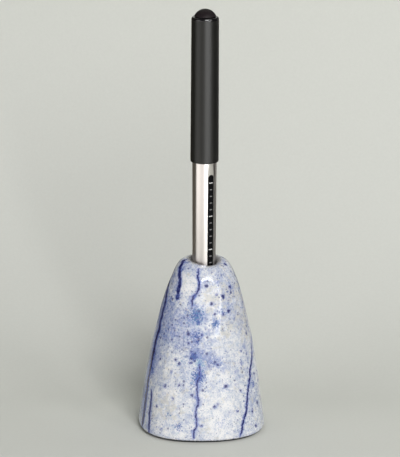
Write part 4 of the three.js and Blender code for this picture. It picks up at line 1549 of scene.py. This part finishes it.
class Studio:
    """The floor, the lights and the camera."""

    AIM = Vector((0.0, 0.0, 0.08))
    PANELS = {
        "key_light": Panel(15, 29, 1.2, 0.56, 0.42, 9.7),
        "upper_panel": Panel(28, 42, 1.2, 0.4, 0.3, 1.9),
        "right_panel": Panel(50, 26, 1.2, 0.3, 0.4, 1.8),
        "left_panel": Panel(-56, 12, 1.3, 0.7, 0.45, 3.0),
        "top_strip": Panel(36, 50, 1.2, 0.8, 0.06, 0.4),
    }
    # Painted reflections: screens that glow though they are no lamps, seen only in reflections. The bright
    # ones light up the barrel and draw the highlight line on the glaze, the dark ones darken reflections at
    # the sides and back
    SCREENS = {
        "front_screen": Screen(-82, 47, 0.42, 0.26, "#fffaf6", 1.38),
        "bright_strip": Screen(27, 46, 0.38, 0.26, "#ffffff", 5.5, 0.085),
        "left_screen": Screen(-166, -90, 0.13, 0.3, "#57534b"),
        "right_screen": Screen(84, 120, 0.15, 0.3, "#393736"),
        "back_screen": Screen(124, 172, 0.14, 0.3, "#6c6966"),
    }
    SWEEP_START = 0.03
    SWEEP_RADIUS = 0.165
    # Between which distances from the object the camera loses sight of the paper, in metres
    FADE = (0.3, 0.7)
    # The camera, as fitted to the photograph: lens in mm, place in mm, tilt and roll in degrees
    LENS = 194.85
    CAMERA_PLACE = Vector((-1.81, -1043.3, 378.85))
    CAMERA_TILT = 15.51
    CAMERA_ROLL = 0.263

    @staticmethod
    def direction(azimuth: float, elevation: float) -> Vector:
        """The direction from the object towards a light."""
        turn, rise = math.radians(azimuth), math.radians(elevation)
        return Vector((math.sin(turn) * math.cos(rise), -math.cos(turn) * math.cos(rise), math.sin(rise)))

    def light(self, name: str, panel: Panel) -> None:
        """Adds a soft light that faces the object."""
        lamp = bpy.data.lights.new(name, "AREA")
        lamp.shape = "RECTANGLE"
        lamp.size = panel.width
        lamp.size_y = panel.height
        lamp.energy = panel.watts
        holder = bpy.data.objects.new(name, lamp)
        bpy.context.scene.collection.objects.link(holder)
        towards = self.direction(panel.azimuth, panel.elevation)
        holder.location = self.AIM + towards * panel.distance
        holder.rotation_euler = towards.to_track_quat("Z", "Y").to_euler()

    def floor(self) -> None:
        """Lays a wide pale floor that curves up behind the object."""
        Bench.clear()
        bpy.ops.mesh.primitive_grid_add(x_subdivisions=2, y_subdivisions=360, size=2)
        floor = bpy.context.object
        floor.name = "floor"
        start, radius = self.SWEEP_START, self.SWEEP_RADIUS
        # Rows crowd near the object, for the soft bend, and lie wide apart far from it
        for vertex in floor.data.vertices:
            along = 5.0 * vertex.co.y - 2.5 + 0.2
            along = start + 0.02 * along + 0.98 * along * abs(along) ** 1.2 / 4
            bend = min(max((along - start) / radius, 0), math.pi / 2)
            rise = max(along - start - radius * math.pi / 2, 0)
            vertex.co.x *= 4
            vertex.co.y = min(along, start) + radius * math.sin(bend)
            vertex.co.z = radius * (1 - math.cos(bend)) + rise
        Bench.take(floor)
        bpy.ops.object.shade_smooth()
        paper = PlainFinish(
            "pale_backdrop_paper", "#d2d3cd", "#d5d6d0", 0.8, 0.1, grain_mm=1.2, bump_mm=0.01, ior=1.0,
        )
        floor.data.materials.append(self.one_sided(paper.build()))

    @staticmethod
    def one_sided(material: bpy.types.Material) -> bpy.types.Material:
        """Lets the camera look through the back of the paper, and past its unlit far parts.

        The object shows from all sides, always before a pale plain ground.
        """
        tree = material.node_tree
        output = next(node for node in tree.nodes if node.type == "OUTPUT_MATERIAL")
        shader = output.inputs["Surface"].links[0].from_socket
        place = add_node(tree, "ShaderNodeTexCoord").outputs["Object"]
        flat = add_node(
            tree, "ShaderNodeVectorMath", {"operation": "MULTIPLY", 1: (1, 1, 0)}, {0: place}
        ).outputs[0]
        away = add_node(tree, "ShaderNodeVectorMath", {"operation": "LENGTH"}, {0: flat}).outputs["Value"]
        far = add_range(tree, away, Studio.FADE, (0.0, 1.0), "SMOOTHSTEP")
        back = add_node(tree, "ShaderNodeNewGeometry").outputs["Backfacing"]
        camera = add_node(tree, "ShaderNodeLightPath").outputs["Is Camera Ray"]
        behind = calculate(tree, "MULTIPLY", calculate(tree, "MAXIMUM", back, far), camera)
        clear = add_node(tree, "ShaderNodeBsdfTransparent").outputs[0]
        mixed = add_node(tree, "ShaderNodeMixShader", links={0: behind, 1: shader, 2: clear}).outputs[0]
        tree.links.new(mixed, output.inputs["Surface"])
        return material

    def screen(self, name: str, screen: Screen) -> None:
        """Stands a curved glowing screen round the object, which only reflections see: a painted reflection.
        """
        Bench.clear()
        bpy.ops.mesh.primitive_grid_add(x_subdivisions=24, y_subdivisions=1, size=2)
        piece = bpy.context.object
        piece.name = name
        for vertex in piece.data.vertices:
            share = (vertex.co.x + 1) / 2
            towards = self.direction(screen.first + (screen.last - screen.first) * share, 0)
            height = screen.foot + (vertex.co.y + 1) / 2 * (screen.top - screen.foot)
            vertex.co = towards * screen.distance + AXIS_Z * height
        # The screen's glow is a painted reflection
        material = bpy.data.materials.new(f"{name}_cloth")
        tree = fresh_tree(material)
        glow = add_node(tree, "ShaderNodeEmission", {"Color": linear(screen.tone), "Strength": screen.glow})
        add_node(tree, "ShaderNodeOutputMaterial", links={"Surface": glow.outputs[0]})
        piece.data.materials.append(material)
        piece.visible_camera = False
        piece.visible_diffuse = False
        piece.visible_shadow = False

    def surroundings(self) -> None:
        """Sets the even light that fills the room."""
        world = bpy.data.worlds.new("room")
        bpy.context.scene.world = world
        tree = fresh_tree(world)
        room = add_node(tree, "ShaderNodeBackground", {"Color": linear("#eceff2"), "Strength": 0.03})
        seen = add_node(tree, "ShaderNodeBackground", {"Color": linear("#c4c5bf")})
        camera = add_node(tree, "ShaderNodeLightPath").outputs["Is Camera Ray"]
        both = add_node(
            tree, "ShaderNodeMixShader", links={0: camera, 1: room.outputs[0], 2: seen.outputs[0]}
        )
        add_node(tree, "ShaderNodeOutputWorld", links={"Surface": both.outputs[0]})

    def camera(self) -> None:
        """Places the camera where the photograph was taken from."""
        data = bpy.data.cameras.new("camera")
        data.lens = self.LENS
        data.clip_end = 30
        holder = bpy.data.objects.new("camera", data)
        bpy.context.scene.collection.objects.link(holder)
        tilt = Matrix.Rotation(math.radians(90 - self.CAMERA_TILT), 4, "X")
        roll = Matrix.Rotation(math.radians(self.CAMERA_ROLL), 4, "Z")
        holder.matrix_world = Matrix.Translation(self.CAMERA_PLACE * MM) @ tilt @ roll
        bpy.context.scene.camera = holder

    def build(self) -> None:
        """Sets up the whole studio."""
        bpy.context.scene.view_settings.view_transform = "Standard"
        self.floor()
        for name, screen in self.SCREENS.items():
            self.screen(name, screen)
        self.surroundings()
        for name, panel in self.PANELS.items():
            self.light(name, panel)
        self.camera()


def write_sizes() -> None:
    """Gathers the box corners of every piece that is shown; nothing is written."""
    corners = []
    for piece in bpy.data.objects:
        if piece.type == "MESH" and "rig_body" in piece and not piece.hide_render:
            corners += [piece.matrix_world @ Vector(corner) for corner in piece.bound_box]


def main() -> None:
    """Builds the looks of the whole object."""
    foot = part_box("barrel_end_plug")[0].z / MM
    Stand().build()
    Pen(foot).build()
    Cap(foot).build()
    Studio().build()
    write_sizes()


if __name__ == "__main__":
    main()
